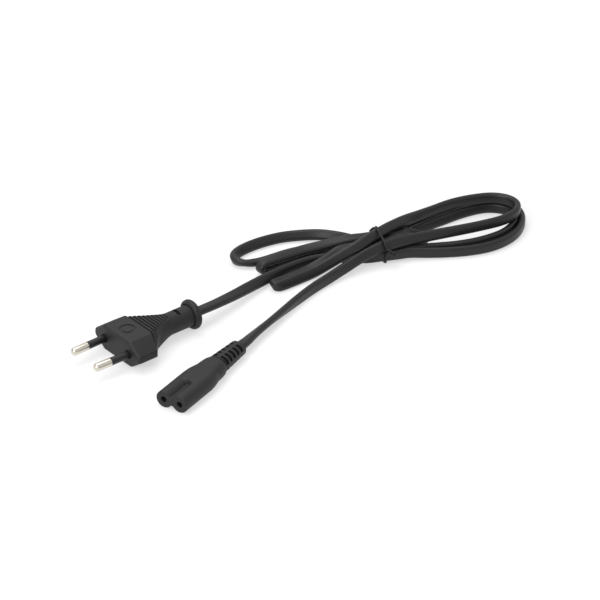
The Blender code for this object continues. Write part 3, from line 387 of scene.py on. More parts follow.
# Bright nickel on drawn brass: a warm mirror, with rings left by the lathe, drawn coarse enough to show
nickel, tree, shader = new_material(
    "nickel-plated brass", "#d9d3c7", {"Metallic": 1.0, "Roughness": 0.2}
)
LATHE_RING = 0.754
WAVE_UNIT = math.pi / 10  # width of one band of the wave texture at a scale of 1
PIN_POLISH = (0.16, 0.26)
coords = add(tree, "ShaderNodeTexCoord", {}, {})
rings = add(
    tree, "ShaderNodeTexWave", {"wave_type": "BANDS", "bands_direction": "X"},
    {"Vector": coords.outputs["Object"], "Scale": WAVE_UNIT / (LATHE_RING * MM), "Distortion": 1.5},
)
polish = add(
    tree, "ShaderNodeMapRange", {},
    {"Value": rings.outputs["Fac"], "To Min": PIN_POLISH[0], "To Max": PIN_POLISH[1]},
)
tree.links.new(polish.outputs["Result"], shader.inputs["Roughness"])

for side, label in ((1, "live"), (-1, "neutral")):
    seat = Matrix.Translation((0.0, side * PIN_SPACING / 2, 0.0)) @ Matrix.Rotation(side * PIN_LEAN, 4, "Z")
    radius = PIN_DIAMETER / 2
    profile = []
    for k in range(PIN_TIP_STEPS + 1):
        a = math.pi / 2 * k / PIN_TIP_STEPS
        ease = radius * PIN_TIP_EASE * (1 - math.cos(a))
        profile.append((-PIN_LENGTH + ease, 0.0 if k == 0 else radius * math.sin(a)))
    profile += [
        (-PIN_SLEEVE - PIN_EDGE, radius), (-PIN_SLEEVE, radius - PIN_EDGE), (-PIN_SLEEVE, PIN_SHANK),
        (CRIMP_START, PIN_SHANK), (CRIMP_START, PIN_CRIMP[1]), (PIN_ROOT, PIN_CRIMP[1]),
        (PIN_ROOT, PIN_CRIMP[0]), (CRIMP_START + FIT_GAP, PIN_CRIMP[0]), (CRIMP_START + FIT_GAP, 0.0),
    ]
    pin = piece_from(turned(profile), f"turned_pin_{label}", nickel, PLUG_PLACE @ seat)
    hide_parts(f"pin_{label}")
    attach(pin, "root")

# Pin sleeves. A moulded nylon tube on the half of each pin next to the plug, a little thinner than the
# bare half, so that no finger touches a live pin while the plug is part of the way in.

SLEEVE_RADIUS = 1.9
SLEEVE_BORE = 1.45
SLEEVE_END = 2.1  # inside the pin face
SLEEVE_EDGE = 0.12

# Moulded nylon, smoother than the plug's PVC
sleeve_nylon, tree, shader = new_material(
    "moulded black nylon", "#19191b", {"Roughness": 0.32, "IOR": 1.5, "Specular IOR Level": 0.45}
)
coords = add(tree, "ShaderNodeTexCoord", {}, {})
FLOW_SIZE, FLOW_RELIEF = 0.3, 0.03
flow = add(
    tree, "ShaderNodeTexNoise", {},
    {"Vector": coords.outputs["Object"], "Scale": 1 / (FLOW_SIZE * MM), "Detail": 3.0},
)
flow_bump = add(
    tree, "ShaderNodeBump", {},
    {"Strength": 0.15, "Distance": FLOW_RELIEF * MM, "Height": flow.outputs["Fac"]},
)
tree.links.new(flow_bump.outputs["Normal"], shader.inputs["Normal"])

for side, label in ((1, "live"), (-1, "neutral")):
    seat = Matrix.Translation((0.0, side * PIN_SPACING / 2, 0.0)) @ Matrix.Rotation(side * PIN_LEAN, 4, "Z")
    start = FIT_GAP - PIN_SLEEVE
    profile = [
        (start, SLEEVE_BORE), (start, SLEEVE_RADIUS - SLEEVE_EDGE), (start + SLEEVE_EDGE, SLEEVE_RADIUS),
        (SLEEVE_END, SLEEVE_RADIUS), (SLEEVE_END, SLEEVE_BORE),
    ]
    sleeve = piece_from(
        turned(profile, segments=48), f"moulded_sleeve_{label}", sleeve_nylon, PLUG_PLACE @ seat
    )
    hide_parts(f"pin_sleeve_{label}")
    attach(sleeve, "root")

# Inside the mouldings. Nylon carriers hold the pins and the contacts at their spacing before PVC is
# moulded over them, rolled brass tubes take the inlet's pins, and the cores' ends are crimped in place.

# Natural nylon: off-white and a little translucent
carrier_nylon, tree, shader = new_material(
    "natural nylon", "#dcd8cc", {"Roughness": 0.45, "IOR": 1.53, "Subsurface Weight": 0.1}
)
shader.inputs["Subsurface Radius"].default_value = (MM, MM, MM)
# Rolled brass sheet: satin gold
contact_brass = new_material("rolled brass", "#cfa75a", {"Metallic": 1.0, "Roughness": 0.3})[0]
# Core insulation, brown on live and blue on neutral
brown_pvc = new_material("brown core PVC", "#6b4024", {"Roughness": 0.45, "IOR": 1.53})[0]
blue_pvc = new_material("blue core PVC", "#2c5fa3", {"Roughness": 0.45, "IOR": 1.53})[0]
for node, made_of, slot in (
    ("pin_carrier", carrier_nylon, "carrier"),
    ("plug_core_live", brown_pvc, "live_core"), ("connector_core_live", brown_pvc, "live_core"),
    ("plug_core_neutral", blue_pvc, "neutral_core"), ("connector_core_neutral", blue_pvc, "neutral_core"),
):
    inner = bpy.data.objects[node]
    inner.data.materials.clear()
    inner.data.materials.append(made_of)

# Plug moulding. Soft black PVC moulded over the pins' carrier in one shot: an eight-sided block, a
# waisted grip with grooves across its flats, a round neck with a slot, and a round flange as a stop.

BLOCK_WIDTH, BLOCK_HEIGHT, BLOCK_LENGTH = 35.3, 13.7, 13.3
TOP_FLAT = 20.4
SIDE_BAND = 3.2
EDGE_ROUND = 1.3
FRONT_ROUND, FRONT_DRAW = 1.7, 0.98  # radius, and the share of it that the pin face is drawn in by
FRONT_STEPS = 6
BLOCK_SHARES = (0.3, 0.58, 0.7, 0.82, 0.92, 0.97)  # of its length, where it has a ring
REAR_SLANT = 2.4  # the block's sides end this much before its top
SLANT_START, SLANT_RISE = 8.0, 5.0  # where the slant sets in, and its way to the full slant
SLANT_END, SLANT_FALL = 22.0, 8.0  # where it is gone, and its way to nothing before that
GRIP_LENGTH = 17.5
SHOULDER_LENGTH = 9.0
SHOULDER_SHARE, SHOULDER_CURVE = 0.985, 2.4  # of the block's width, and how it falls off
WAIST_SHARE, WAIST_CURVE = 0.79, 1.35  # of the block's flat, and how it narrows to the neck
HEIGHT_CURVE = 0.75  # how the height falls to the neck's
GRIP_FLAT_SHARE, GRIP_FLAT_CURVE = 0.88, 0.85
NECK_FLAT_SHARE, NECK_BAND_SHARE = 0.28, 0.25  # of the neck's diameter
ROUNDING_CURVE = 3  # how the grip's corners turn into the neck's circle
NECK_DIAMETER, NECK_LENGTH = 10.7, 11.0
# A groove in the flange's front: x behind the neck's end, and radius over the neck's
NECK_UNDERCUT = ((-0.3, 0.0), (0.5, 0.05), (0.75, 0.3), (0.5, 0.6), (0.0, 0.75))
FLANGE_DIAMETER, FLANGE_THICKNESS, FLANGE_ROUND = 14.8, 3.6, 1.65
FLANGE_STEPS = 8
FLANGE_CENTRE = 1.2  # of its flat face, round the flex
RIB_COUNT = 9
RIB_END = 0.6  # pitches left plain before the neck
RIB_GROOVE, RIB_DEPTH = 0.95, 0.85
RIB_PROFILE = ((0.0, 0.05), (0.14, 0.8), (0.3, 1.0), (0.7, 1.0), (0.86, 0.8), (1.0, 0.05))
LAND_SHARES = (0.2, 0.5, 0.8)  # of the land between two grooves, where it has a ring
GRIP_END_SHARES = (0.95, 0.98)
ARC_STEPS = 6
NECK_START = BLOCK_LENGTH + GRIP_LENGTH
NECK_END = NECK_START + NECK_LENGTH
PLUG_LENGTH = NECK_END + FLANGE_THICKNESS
WELD = 0.0005  # points nearer than this are one
LEAST_FLAT = 0.001  # left on a cutter's side between its rounded corners


def limited(share):
    """A share that stays between nothing and the whole."""
    return max(0.0, min(1.0, share))


def eight_sided(x, sizes, roundness=0.0, inset=0.0, groove=0.0, corner=EDGE_ROUND):
    """A ring between an eight-sided outline (0) and the neck's circle (1), its corners drawn round."""
    width, height, flat, band, radius = sizes
    half_w, half_h, half_f, half_b = width / 2, height / 2, flat / 2, band / 2
    slope = math.atan2(half_w - half_f, half_h - half_b)
    reach = half_w * math.cos(slope) + half_b * math.sin(slope) - inset - corner
    side, top = half_w - inset - corner, half_h - inset - corner
    corners = [
        (side, (reach - side * math.cos(slope)) / math.sin(slope), 0.0, slope),
        ((reach - top * math.sin(slope)) / math.cos(slope), top, slope, math.pi / 2),
    ]
    rounding = corner + (radius - corner) * roundness
    quarter = []
    for y, z, start, end in corners:
        for k in range(ARC_STEPS + 1):
            a = start + (end - start) * k / ARC_STEPS
            quarter.append(
                (y * (1 - roundness) + rounding * math.cos(a), z * (1 - roundness) + rounding * math.sin(a))
            )
    half = quarter + [(-y, z) for y, z in reversed(quarter)]
    ring = half + [(y, -z) for y, z in reversed(half)]
    limit = height / 2 - groove if groove else height
    reach_back = limited((x - SLANT_START) / SLANT_RISE) * limited((SLANT_END - x) / SLANT_FALL)
    points = []
    for y, z in ring:
        aside = limited((abs(y) - TOP_FLAT / 2) / (BLOCK_WIDTH - TOP_FLAT) * 2)
        points.append((x - REAR_SLANT * aside * reach_back, y, max(-limit, min(limit, z))))
    return points


def skinned(rings):
    """A closed skin over rings of equally many points."""
    bm = bmesh.new()
    levels = [[bm.verts.new(point) for point in ring] for ring in rings]
    count = len(levels[0])
    for low, high in zip(levels, levels[1:]):
        for i in range(count):
            j = (i + 1) % count
            bm.faces.new((low[i], low[j], high[j], high[i]))
    bm.faces.new(list(reversed(levels[0])))
    bm.faces.new(levels[-1])
    bmesh.ops.remove_doubles(bm, verts=bm.verts, dist=WELD)
    bmesh.ops.dissolve_degenerate(bm, dist=WELD, edges=bm.edges)
    return bm


def grip_sizes(t):
    """Width, height, flat, band and neck radius of the grip, from the block (0) to the neck (1)."""
    left = 1 - t
    grip_flat = TOP_FLAT * WAIST_SHARE
    shoulder = max(0.0, 1 - t * GRIP_LENGTH / SHOULDER_LENGTH) ** SHOULDER_CURVE
    waist = NECK_DIAMETER + (grip_flat - NECK_DIAMETER) * left**WAIST_CURVE
    return (
        waist + (BLOCK_WIDTH * SHOULDER_SHARE - grip_flat) * shoulder,
        NECK_DIAMETER + (BLOCK_HEIGHT - NECK_DIAMETER) * left**HEIGHT_CURVE,
        TOP_FLAT * GRIP_FLAT_SHARE * left**GRIP_FLAT_CURVE + NECK_DIAMETER * NECK_FLAT_SHARE * t,
        SIDE_BAND + (NECK_DIAMETER * NECK_BAND_SHARE - SIDE_BAND) * t,
        NECK_DIAMETER / 2,
    )


def grip_ring(t, groove=0.0):
    """A ring of the grip, from the block (0) to the neck (1)."""
    return eight_sided(BLOCK_LENGTH + GRIP_LENGTH * t, grip_sizes(t), t**ROUNDING_CURVE, groove=groove)


block_sizes = (BLOCK_WIDTH, BLOCK_HEIGHT, TOP_FLAT, SIDE_BAND, NECK_DIAMETER / 2)
rings = []
for k in range(FRONT_STEPS + 1):
    a = math.pi / 2 * (1 - k / FRONT_STEPS)
    inset = FRONT_ROUND * (1 - math.cos(a)) * FRONT_DRAW
    rings.append(eight_sided(FRONT_ROUND * (1 - math.sin(a)), block_sizes, inset=inset))
for share in BLOCK_SHARES:
    rings.append(eight_sided(BLOCK_LENGTH * share, block_sizes))
pitch = 1 / (RIB_COUNT + RIB_END)
wide = RIB_GROOVE / GRIP_LENGTH
for k in range(RIB_COUNT):
    for share, depth in RIB_PROFILE:
        rings.append(grip_ring(k * pitch + wide * share, RIB_DEPTH * depth))
    for share in LAND_SHARES:
        rings.append(grip_ring(k * pitch + wide + (pitch - wide) * share))
for t in GRIP_END_SHARES:
    rings.append(grip_ring(t))
neck, flange = NECK_DIAMETER / 2, FLANGE_DIAMETER / 2
lathe_profile = [(NECK_START, neck), (NECK_START + NECK_LENGTH / 2, neck)]
lathe_profile += [(NECK_END + behind, neck + over) for behind, over in NECK_UNDERCUT]
for k in range(FLANGE_STEPS + 1):
    a = math.pi / 2 * k / FLANGE_STEPS
    lathe_profile.append(
        (NECK_END + FLANGE_ROUND * (1 - math.cos(a)), flange - FLANGE_ROUND * (1 - math.sin(a)))
    )
for k in range(FLANGE_STEPS + 1):
    a = math.pi / 2 * k / FLANGE_STEPS
    lathe_profile.append(
        (PLUG_LENGTH - FLANGE_ROUND * (1 - math.sin(a)), flange - FLANGE_ROUND * (1 - math.cos(a)))
    )
lathe_profile.append((PLUG_LENGTH, FLEX_WIDTH / 2 + FLANGE_CENTRE))
for x, radius in lathe_profile:
    rings.append(eight_sided(x, (*block_sizes[:4], radius), 1.0))


def bar(start, length, width, height, corner, steps=5):
    """A bar along X of rounded-rectangle section, as a cutter."""
    corner = min(corner, width / 2 - LEAST_FLAT, height / 2 - LEAST_FLAT)
    points = []
    for quarter in range(4):
        side = 1 if quarter in (0, 3) else -1
        up = 1 if quarter in (0, 1) else -1
        for k in range(steps + 1):
            a = math.pi / 2 * (quarter + k / steps)
            across = side * (width / 2 - corner) + corner * math.cos(a)
            points.append((across, up * (height / 2 - corner) + corner * math.sin(a)))
    return skinned([[(x, y, z) for y, z in points] for x in (start, start + length)])


def cut(body, cutters):
    """Takes cutters, given as meshes in the body's own frame and places, out of the body for good."""
    for bm, place in cutters:
        tool = piece_from(bm, "cutter", body.data.materials[0], place)
        step = body.modifiers.new("cut", "BOOLEAN")
        step.operation = "DIFFERENCE"
        step.solver = "EXACT"
        step.object = tool
        bpy.context.view_layer.update()
        graph = bpy.context.evaluated_depsgraph_get()
        mesh = bpy.data.meshes.new_from_object(body.evaluated_get(graph))
        body.modifiers.clear()
        old = body.data
        body.data = mesh
        bpy.data.meshes.remove(old)
        bpy.data.objects.remove(tool, do_unlink=True)
    body.data.shade_smooth()
    body.data.set_sharp_from_angle(angle=HARD_EDGE)


# Moulded PVC: dull, with the fine grain that an eroded steel mould leaves
moulded_pvc, tree, shader = new_material(
    "moulded PVC", "#1d1d1f", {"Roughness": 0.55, "IOR": 1.5, "Specular IOR Level": 0.36}
)
coords = add(tree, "ShaderNodeTexCoord", {}, {})
GRAIN_SIZE, GRAIN_DEPTH = 0.22, 0.04
grain = add(
    tree, "ShaderNodeTexNoise", {},
    {"Vector": coords.outputs["Object"], "Scale": 1 / (GRAIN_SIZE * MM), "Detail": 3.0, "Roughness": 0.6},
)
CLOUD_SIZE = 4.0
clouds = add(
    tree, "ShaderNodeTexNoise", {},
    {"Vector": coords.outputs["Object"], "Scale": 1 / (CLOUD_SIZE * MM), "Detail": 2.0},
)
grain_bump = add(
    tree, "ShaderNodeBump", {},
    {"Strength": 0.35, "Distance": GRAIN_DEPTH * MM, "Height": grain.outputs["Fac"]},
)
tree.links.new(grain_bump.outputs["Normal"], shader.inputs["Normal"])
MOULD_DULLNESS = (0.5, 0.62)
dullness = add(
    tree, "ShaderNodeMapRange", {},
    {"Value": clouds.outputs["Fac"], "To Min": MOULD_DULLNESS[0], "To Max": MOULD_DULLNESS[1]},
)
tree.links.new(dullness.outputs["Result"], shader.inputs["Roughness"])

plug = piece_from(skinned(rings), "moulded_plug", moulded_pvc, PLUG_PLACE)
CARRIER_POCKET = (2.1, 6.6, 26.6, 9.0, 2.0)  # start, length, width, height and corner
CRIMP_POCKET = (8.4, 7.0, 23.8, 4.0, 1.9)
CUT_PAST = 1.0  # a cutter's reach past the piece
FLEX_BORE = (5.65, 3.45, 1.7, 8)  # width, height, corner and steps
PIN_HOLE = ((-CUT_PAST, 0.0), (-CUT_PAST, 2.2), (2.4, 2.2), (2.4, 0.0))  # x and radius
NECK_SLOT = (-1.5, 3.0, 5.8, 1.7, 0.8, 6)  # the same, and steps; half of it is outside the neck
NECK_SLOT_PLACE = 7.0  # in front of the flange
MARK_PLACE = 6.8  # the plain ring's middle, behind the pin face
MARK_RING = ((-0.4, 3.1), (-0.4, 3.5), (0.3, 4.3), (0.3, 2.3))  # depth and radius
ON_END = Matrix.Rotation(math.pi / 2, 4, "Y")  # stands a cutter upright
flex_bore = bar(PIN_ROOT, PLUG_LENGTH - PIN_ROOT + CUT_PAST, *FLEX_BORE)
cutters = [(bar(*CARRIER_POCKET), PLUG_PLACE), (bar(*CRIMP_POCKET), PLUG_PLACE), (flex_bore, PLUG_PLACE)]
for side in (1, -1):
    seat = Matrix.Translation((0.0, side * PIN_SPACING / 2, 0.0)) @ Matrix.Rotation(side * PIN_LEAN, 4, "Z")
    cutters.append((turned(PIN_HOLE, segments=40), PLUG_PLACE @ seat))
    slot_place = Matrix.Translation((NECK_END - NECK_SLOT_PLACE, 0.0, side * neck)) @ ON_END
    cutters.append((bar(*NECK_SLOT), PLUG_PLACE @ slot_place))
mark_place = Matrix.Translation((MARK_PLACE, 0.0, BLOCK_HEIGHT / 2)) @ ON_END
cutters.append((turned(MARK_RING, segments=96), PLUG_PLACE @ mark_place))
cut(plug, cutters)
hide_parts("plug_body")
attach(plug, "root")

# Connector moulding. Black PVC moulded over the contacts' carrier: a figure-8 nose that goes into the
# appliance, a body that narrows to its end, and a slotted boot that lets the flex bend without a kink.

NOSE_WIDTH, NOSE_HEIGHT, NOSE_WAIST = 16.8, 8.4, 4.4
BODY_LENGTH, BODY_TAPER = 37.5, 16.0
NOSE_ROUND, NOSE_STEPS = 0.5, 5
GROOVE_LENGTH = 14.0
GROOVE_SHARES = (0.3, 0.6, 0.88)  # of its length, where it has a plain ring
GROOVE_END = ((0.96, 0.15), (0.985, 0.7), (1.0, 1.0))  # shares of its length, and how far it is filled
TAPER_POINTS = ((0.0, 0.0), (0.25, 0.16), (0.5, 0.5), (0.75, 0.62), (0.88, 0.72), (1.0, 1.0))
TAPER_BEFORE, TAPER_AFTER = (-0.25, -0.02), (1.12, 1.25)  # past both ends, for the slopes there
TAPER_STEPS = 24
BODY_EDGE = 0.4  # the body ends this much early, so that a groove is left before the boot
BODY_LIP = 0.6  # how much wider than the boot the body is there
# The end face: how far before the body's length, and how much under the boot's width and the nose's height
BODY_END = (0.35, 0.2, 0.8)
BOOT_LENGTH = 18.7
BOOT_START, BOOT_FINISH = (10.6, 8.0), (8.6, 6.8)  # width and height
BOOT_ROWS, BOOT_PITCH = 5, 3.2
BOOT_SLOT, BOOT_SLOT_DEPTH, BOOT_WEB = 1.75, 1.35, 1.8
SLOT_SHIFT = 0.2  # of every row towards the flex
BOOT_NECK = 1.8  # how much smaller the boot is in that groove
BOOT_RINGS = ((-1.5, BOOT_NECK), (0.45, BOOT_NECK), (0.5, 0.25), (0.7, 0.0))  # x, and how much smaller
BOOT_ROUND, BOOT_ROUND_STEPS = 1.1, 7
HOLE_SPACING, HOLE_DIAMETER = 8.6, 2.9
HOLE_CHAMFER = 0.25

nose_axis = -Vector(CONNECTOR_FACE["axis"])
CONNECTOR_PLACE = Matrix.Translation(CONNECTOR_FACE["pos_m"]) @ Matrix(
    (nose_axis, Vector((0.0, 0.0, 1.0)).cross(nose_axis), Vector((0.0, 0.0, 1.0)))
).transposed().to_4x4() @ Matrix.Scale(MM, 4)
LOBE_STEPS, TOP_STEPS = 14, 28
HOLLOW_BLEND = 0.2  # rounds the corner between a lobe and the hollow's floor


def lobed(x, width, height, waist, fill, inset=0.0):
    """A ring of two round lobes and the hollow between them, which a fill of 1 makes flat."""
    radius = height / 2 - inset
    offset = width / 2 - height / 2
    ring = []
    for side in (1, -1):
        for k in range(LOBE_STEPS + 1):
            a = math.pi * (k / LOBE_STEPS - side / 2)
            ring.append((x, side * offset + radius * math.cos(a), radius * math.sin(a)))
        for k in range(1, TOP_STEPS):
            y = side * offset * (1 - 2 * k / TOP_STEPS)
            inwards = offset - abs(y)
            lobe = math.sqrt(max(0.0, radius**2 - min(inwards, radius) ** 2))
            floor = waist / 2 - inset
            hollow = (lobe + floor + math.sqrt((lobe - floor) ** 2 + HOLLOW_BLEND**2)) / 2
            hollow = min(hollow, radius)
            z = hollow + (radius - hollow) * fill
            ring.append((x, y, side * z))
    return ring


rings = []
for k in range(NOSE_STEPS + 1):
    a = math.pi / 2 * (1 - k / NOSE_STEPS)
    inset = NOSE_ROUND * (1 - math.cos(a))
    rings.append(lobed(NOSE_ROUND * (1 - math.sin(a)), NOSE_WIDTH, NOSE_HEIGHT, NOSE_WAIST, 0.0, inset))
for share in GROOVE_SHARES:
    rings.append(lobed(GROOVE_LENGTH * share, NOSE_WIDTH, NOSE_HEIGHT, NOSE_WAIST, 0.0))
for share, fill in GROOVE_END:
    rings.append(lobed(GROOVE_LENGTH * share, NOSE_WIDTH, NOSE_HEIGHT, NOSE_WAIST, fill))
for k in range(TAPER_STEPS + 1):
    share = k / TAPER_STEPS
    low = max(i for i, point in enumerate(TAPER_POINTS[:-1]) if point[0] <= share)
    a, b = TAPER_POINTS[low], TAPER_POINTS[low + 1]
    before = TAPER_POINTS[low - 1] if low else TAPER_BEFORE
    after = TAPER_POINTS[low + 2] if low + 2 < len(TAPER_POINTS) else TAPER_AFTER
    t = (share - a[0]) / (b[0] - a[0])
    slope_a = (b[1] - before[1]) / (b[0] - before[0]) * (b[0] - a[0])
    slope_b = (after[1] - a[1]) / (after[0] - a[0]) * (b[0] - a[0])
    narrowing = (
        (2 * t**3 - 3 * t**2 + 1) * a[1] + (t**3 - 2 * t**2 + t) * slope_a
        + (3 * t**2 - 2 * t**3) * b[1] + (t**3 - t**2) * slope_b
    )
    width = NOSE_WIDTH - (NOSE_WIDTH - BOOT_START[0] - BODY_LIP) * narrowing
    x = BODY_LENGTH - BODY_EDGE - BODY_TAPER * (1 - share)
    rings.append(lobed(x, width, NOSE_HEIGHT, NOSE_WAIST, 1.0))
before, under, lower = BODY_END
rings.append(lobed(BODY_LENGTH - before, BOOT_START[0] - under, NOSE_HEIGHT - lower, NOSE_WAIST, 1.0))
connector = piece_from(skinned(rings), "moulded_connector", moulded_pvc, CONNECTOR_PLACE)
OVAL_STEPS = 8
OVAL_SHARE = 0.98  # of the boot's half height, as its corners' radius
SLOT_FIRST_TURN = math.radians(13)  # above the side web
SLOT_OUTSIDE = 0.6  # a cutter's reach past the surface


def oval(x, width, height):
    """A ring round the almost round boot."""
    corner = min(width, height) / 2 * OVAL_SHARE
    points = []
    for quarter in range(4):
        side = 1 if quarter in (0, 3) else -1
        up = 1 if quarter in (0, 1) else -1
        for k in range(OVAL_STEPS + 1):
            a = math.pi / 2 * (quarter + k / OVAL_STEPS)
            across = side * (width / 2 - corner) + corner * math.cos(a)
            points.append((x, across, up * (height / 2 - corner) + corner * math.sin(a)))
    return points


def slot_cutter(start, length, width, height, quarter):
    """One quarter of a groove round the boot, with webs left at the top, the bottom and the sides."""
    side, up = quarter
    rings = []
    for k in range(OVAL_STEPS + 2):
        a = SLOT_FIRST_TURN + (math.pi / 2 - SLOT_FIRST_TURN) * min(k / OVAL_STEPS, 1.0)
        ends = []
        for grown in (SLOT_OUTSIDE, -BOOT_SLOT_DEPTH):
            half_w, half_h = width / 2 + grown, height / 2 + grown
            corner = min(half_w, half_h) * OVAL_SHARE
            y = half_w - corner + corner * math.cos(a) if k <= OVAL_STEPS else BOOT_WEB / 2
            ends.append((side * y, up * (half_h - corner + corner * math.sin(a))))
        end = start + length
        rings.append([(start, *ends[0]), (start, *ends[1]), (end, *ends[1]), (end, *ends[0])])
    return skinned(rings)


boot_end = BODY_LENGTH + BOOT_LENGTH
boot_rings = []
for behind, smaller in BOOT_RINGS:
    boot_rings.append(oval(BODY_LENGTH + behind, BOOT_START[0] - smaller, BOOT_START[1] - smaller))
for k in range(BOOT_ROUND_STEPS + 1):
    a = math.pi / 2 * k / BOOT_ROUND_STEPS
    x = boot_end - BOOT_ROUND * (1 - math.sin(a))
    drawn_in = 2 * BOOT_ROUND * (1 - math.cos(a))
    boot_rings.append(oval(x, BOOT_FINISH[0] - drawn_in, BOOT_FINISH[1] - drawn_in))
boot = piece_from(skinned(boot_rings), "boot", moulded_pvc, CONNECTOR_PLACE)
slots = []
for row in range(BOOT_ROWS):
    x = BODY_LENGTH + BOOT_PITCH * (row + 0.5) + SLOT_SHIFT
    t = (x - BODY_LENGTH) / BOOT_LENGTH
    width = BOOT_START[0] + (BOOT_FINISH[0] - BOOT_START[0]) * t
    height = BOOT_START[1] + (BOOT_FINISH[1] - BOOT_START[1]) * t
    for quarter in ((1, 1), (-1, 1), (-1, -1), (1, -1)):
        slots.append((slot_cutter(x - BOOT_SLOT / 2, BOOT_SLOT, width, height, quarter), CONNECTOR_PLACE))
cut(boot, slots)
step = connector.modifiers.new("join", "BOOLEAN")
step.operation = "UNION"
step.solver = "EXACT"
step.object = boot
bpy.context.view_layer.update()
joined = bpy.data.meshes.new_from_object(connector.evaluated_get(bpy.context.evaluated_depsgraph_get()))
connector.modifiers.clear()
connector.data = joined
bpy.data.objects.remove(boot, do_unlink=True)
CARRIER_START, CARRIER_END = 4.0, 16.4
CARRIER_SIZES = (14.0, 5.4, 2.6)  # width, height and waist
POCKET_END, POCKET_PLAY = 20.7, 0.1
HOLE_INSIDE = 0.2  # how far the holes reach into the pocket
BORE_START = 18.4
pocket_sizes = [size + 2 * FIT_GAP for size in CARRIER_SIZES]
pocket = [lobed(x, *pocket_sizes, 0.0) for x in (CARRIER_START - POCKET_PLAY, POCKET_END)]
cutters = [(skinned(pocket), CONNECTOR_PLACE)]
cutters.append((bar(BORE_START, boot_end - BORE_START + CUT_PAST, *FLEX_BORE), CONNECTOR_PLACE))
for side in (1, -1):
    seat = Matrix.Translation((0.0, side * HOLE_SPACING / 2, 0.0))
    radius = HOLE_DIAMETER / 2
    entry = [
        (-CUT_PAST, 0.0), (-CUT_PAST, radius + HOLE_CHAMFER), (0.0, radius + HOLE_CHAMFER),
        (HOLE_CHAMFER, radius), (CARRIER_START + HOLE_INSIDE, radius), (CARRIER_START + HOLE_INSIDE, 0.0),
    ]
    cutters.append((turned(entry, segments=40), CONNECTOR_PLACE @ seat))
cut(connector, cutters)
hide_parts("connector_body")
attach(connector, "root")

# Contacts. A figure-8 insert of natural nylon holds two tubes of rolled brass, each slit along its top so
# that it grips the appliance's pin. They sit well behind the face, so that the holes look black.

CONTACT_RADIUS, CONTACT_WALL = 1.75, 0.35
CONTACT_START, CONTACT_END = 4.4, 13.7
CONTACT_SLIT, SLIT_START, SLIT_LENGTH = 0.6, -0.5, 6.5  # width, start from the contact's, and length
CONTACT_EDGE = 0.05
CONTACT_FLARE = (0.2, 0.3)  # of its mouth: radius and length

carrier = piece_from(
    skinned([lobed(x, *CARRIER_SIZES, 0.0) for x in (CARRIER_START, CARRIER_END)]),
    "nylon_insert", carrier_nylon, CONNECTOR_PLACE,
)
bores = []
for side, label in ((1, "live"), (-1, "neutral")):
    seat = CONNECTOR_PLACE @ Matrix.Translation((0.0, side * HOLE_SPACING / 2, 0.0))
    bore = CONTACT_RADIUS + FIT_GAP
    ends = (CARRIER_START - CUT_PAST, CARRIER_END + CUT_PAST)
    hole = [(ends[0], 0.0), (ends[0], bore), (ends[1], bore), (ends[1], 0.0)]
    bores.append((turned(hole, segments=40), seat))
    inside = CONTACT_RADIUS - CONTACT_WALL
    tube = [
        (CONTACT_START, inside + CONTACT_FLARE[0]), (CONTACT_START, CONTACT_RADIUS - CONTACT_EDGE),
        (CONTACT_START + CONTACT_EDGE, CONTACT_RADIUS), (CONTACT_END, CONTACT_RADIUS),
        (CONTACT_END, inside), (CONTACT_START + CONTACT_FLARE[1], inside),
    ]
    contact = piece_from(turned(tube, segments=48), f"brass_contact_{label}", contact_brass, seat)
    slit = bar(CONTACT_START + SLIT_START, SLIT_LENGTH, CONTACT_SLIT, CONTACT_RADIUS, CONTACT_EDGE)
    cut(contact, [(slit, seat @ Matrix.Translation((0.0, 0.0, CONTACT_RADIUS)))])
    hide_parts(f"contact_{label}")
    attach(contact, "root")
cut(carrier, bores)
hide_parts("contact_carrier")
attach(carrier, "root")

# Twist tie. One thin steel wire in a black plastic coat, laid once round the bundle by hand and its
# ends twisted together down the near side. It stands up in a small open loop at the far top edge.

TIE_WIRE = 1.2
TIE_STEP = 0.4
TIE_RING = [
    (152.9, -13.6, 9.6), (152.9, -12.7, 11.0), (153.3, -10.8, 12.5), (154.4, -6.8, 14.2),
    (155.5, -3.4, 15.2), (156.2, -1.8, 15.3), (156.8, -0.8, 15.0), (157.4, 0.3, 14.3),
    (158.0, 1.2, 13.6), (158.1, 1.9, 12.9), (157.9, 2.9, 12.3), (158.0, 4.2, 11.0), (158.2, 5.2, 9.8),
    (158.4, 5.5, 8.6), (158.4, 5.1, 5.0), (158.2, 4.7, 2.7), (157.9, 4.1, 1.5), (157.6, 3.0, 0.85),
    (157.2, 1.5, 0.64), (156.3, -2.0, 0.64), (155.0, -7.0, 0.64), (154.3, -10.0, 0.7),
    (153.9, -11.2, 1.0), (153.6, -12.0, 1.9), (153.3, -12.5, 3.3), (153.1, -12.8, 5.0), (153.0, -13.4, 6.5),
    (153.0, -14.0, 7.6),
]
TIE_TWIST = (Vector((153.3, -14.5, 8.6)), Vector((156.6, -16.6, 5.9)))
TIE_TWIST_REACH = 0.6
TIE_TURNS = 1.5
TAIL_STEPS = 16

# Plastic coat on wire: black and dull, with small dents from twisting
tie_coat, tree, shader = new_material(
    "coated tie wire", "#121213", {"Roughness": 0.5, "IOR": 1.5, "Specular IOR Level": 0.35}
)
coords = add(tree, "ShaderNodeTexCoord", {}, {})
DENT_SIZE, DENT_DEPTH = 1.2, 0.1
dents = add(
    tree, "ShaderNodeTexNoise", {},
    {"Vector": coords.outputs["Object"], "Scale": 1 / (DENT_SIZE * MM), "Detail": 1.0},
)
dent_bump = add(
    tree, "ShaderNodeBump", {},
    {"Strength": 0.3, "Distance": DENT_DEPTH * MM, "Height": dents.outputs["Fac"]},
)
tree.links.new(dent_bump.outputs["Normal"], shader.inputs["Normal"])

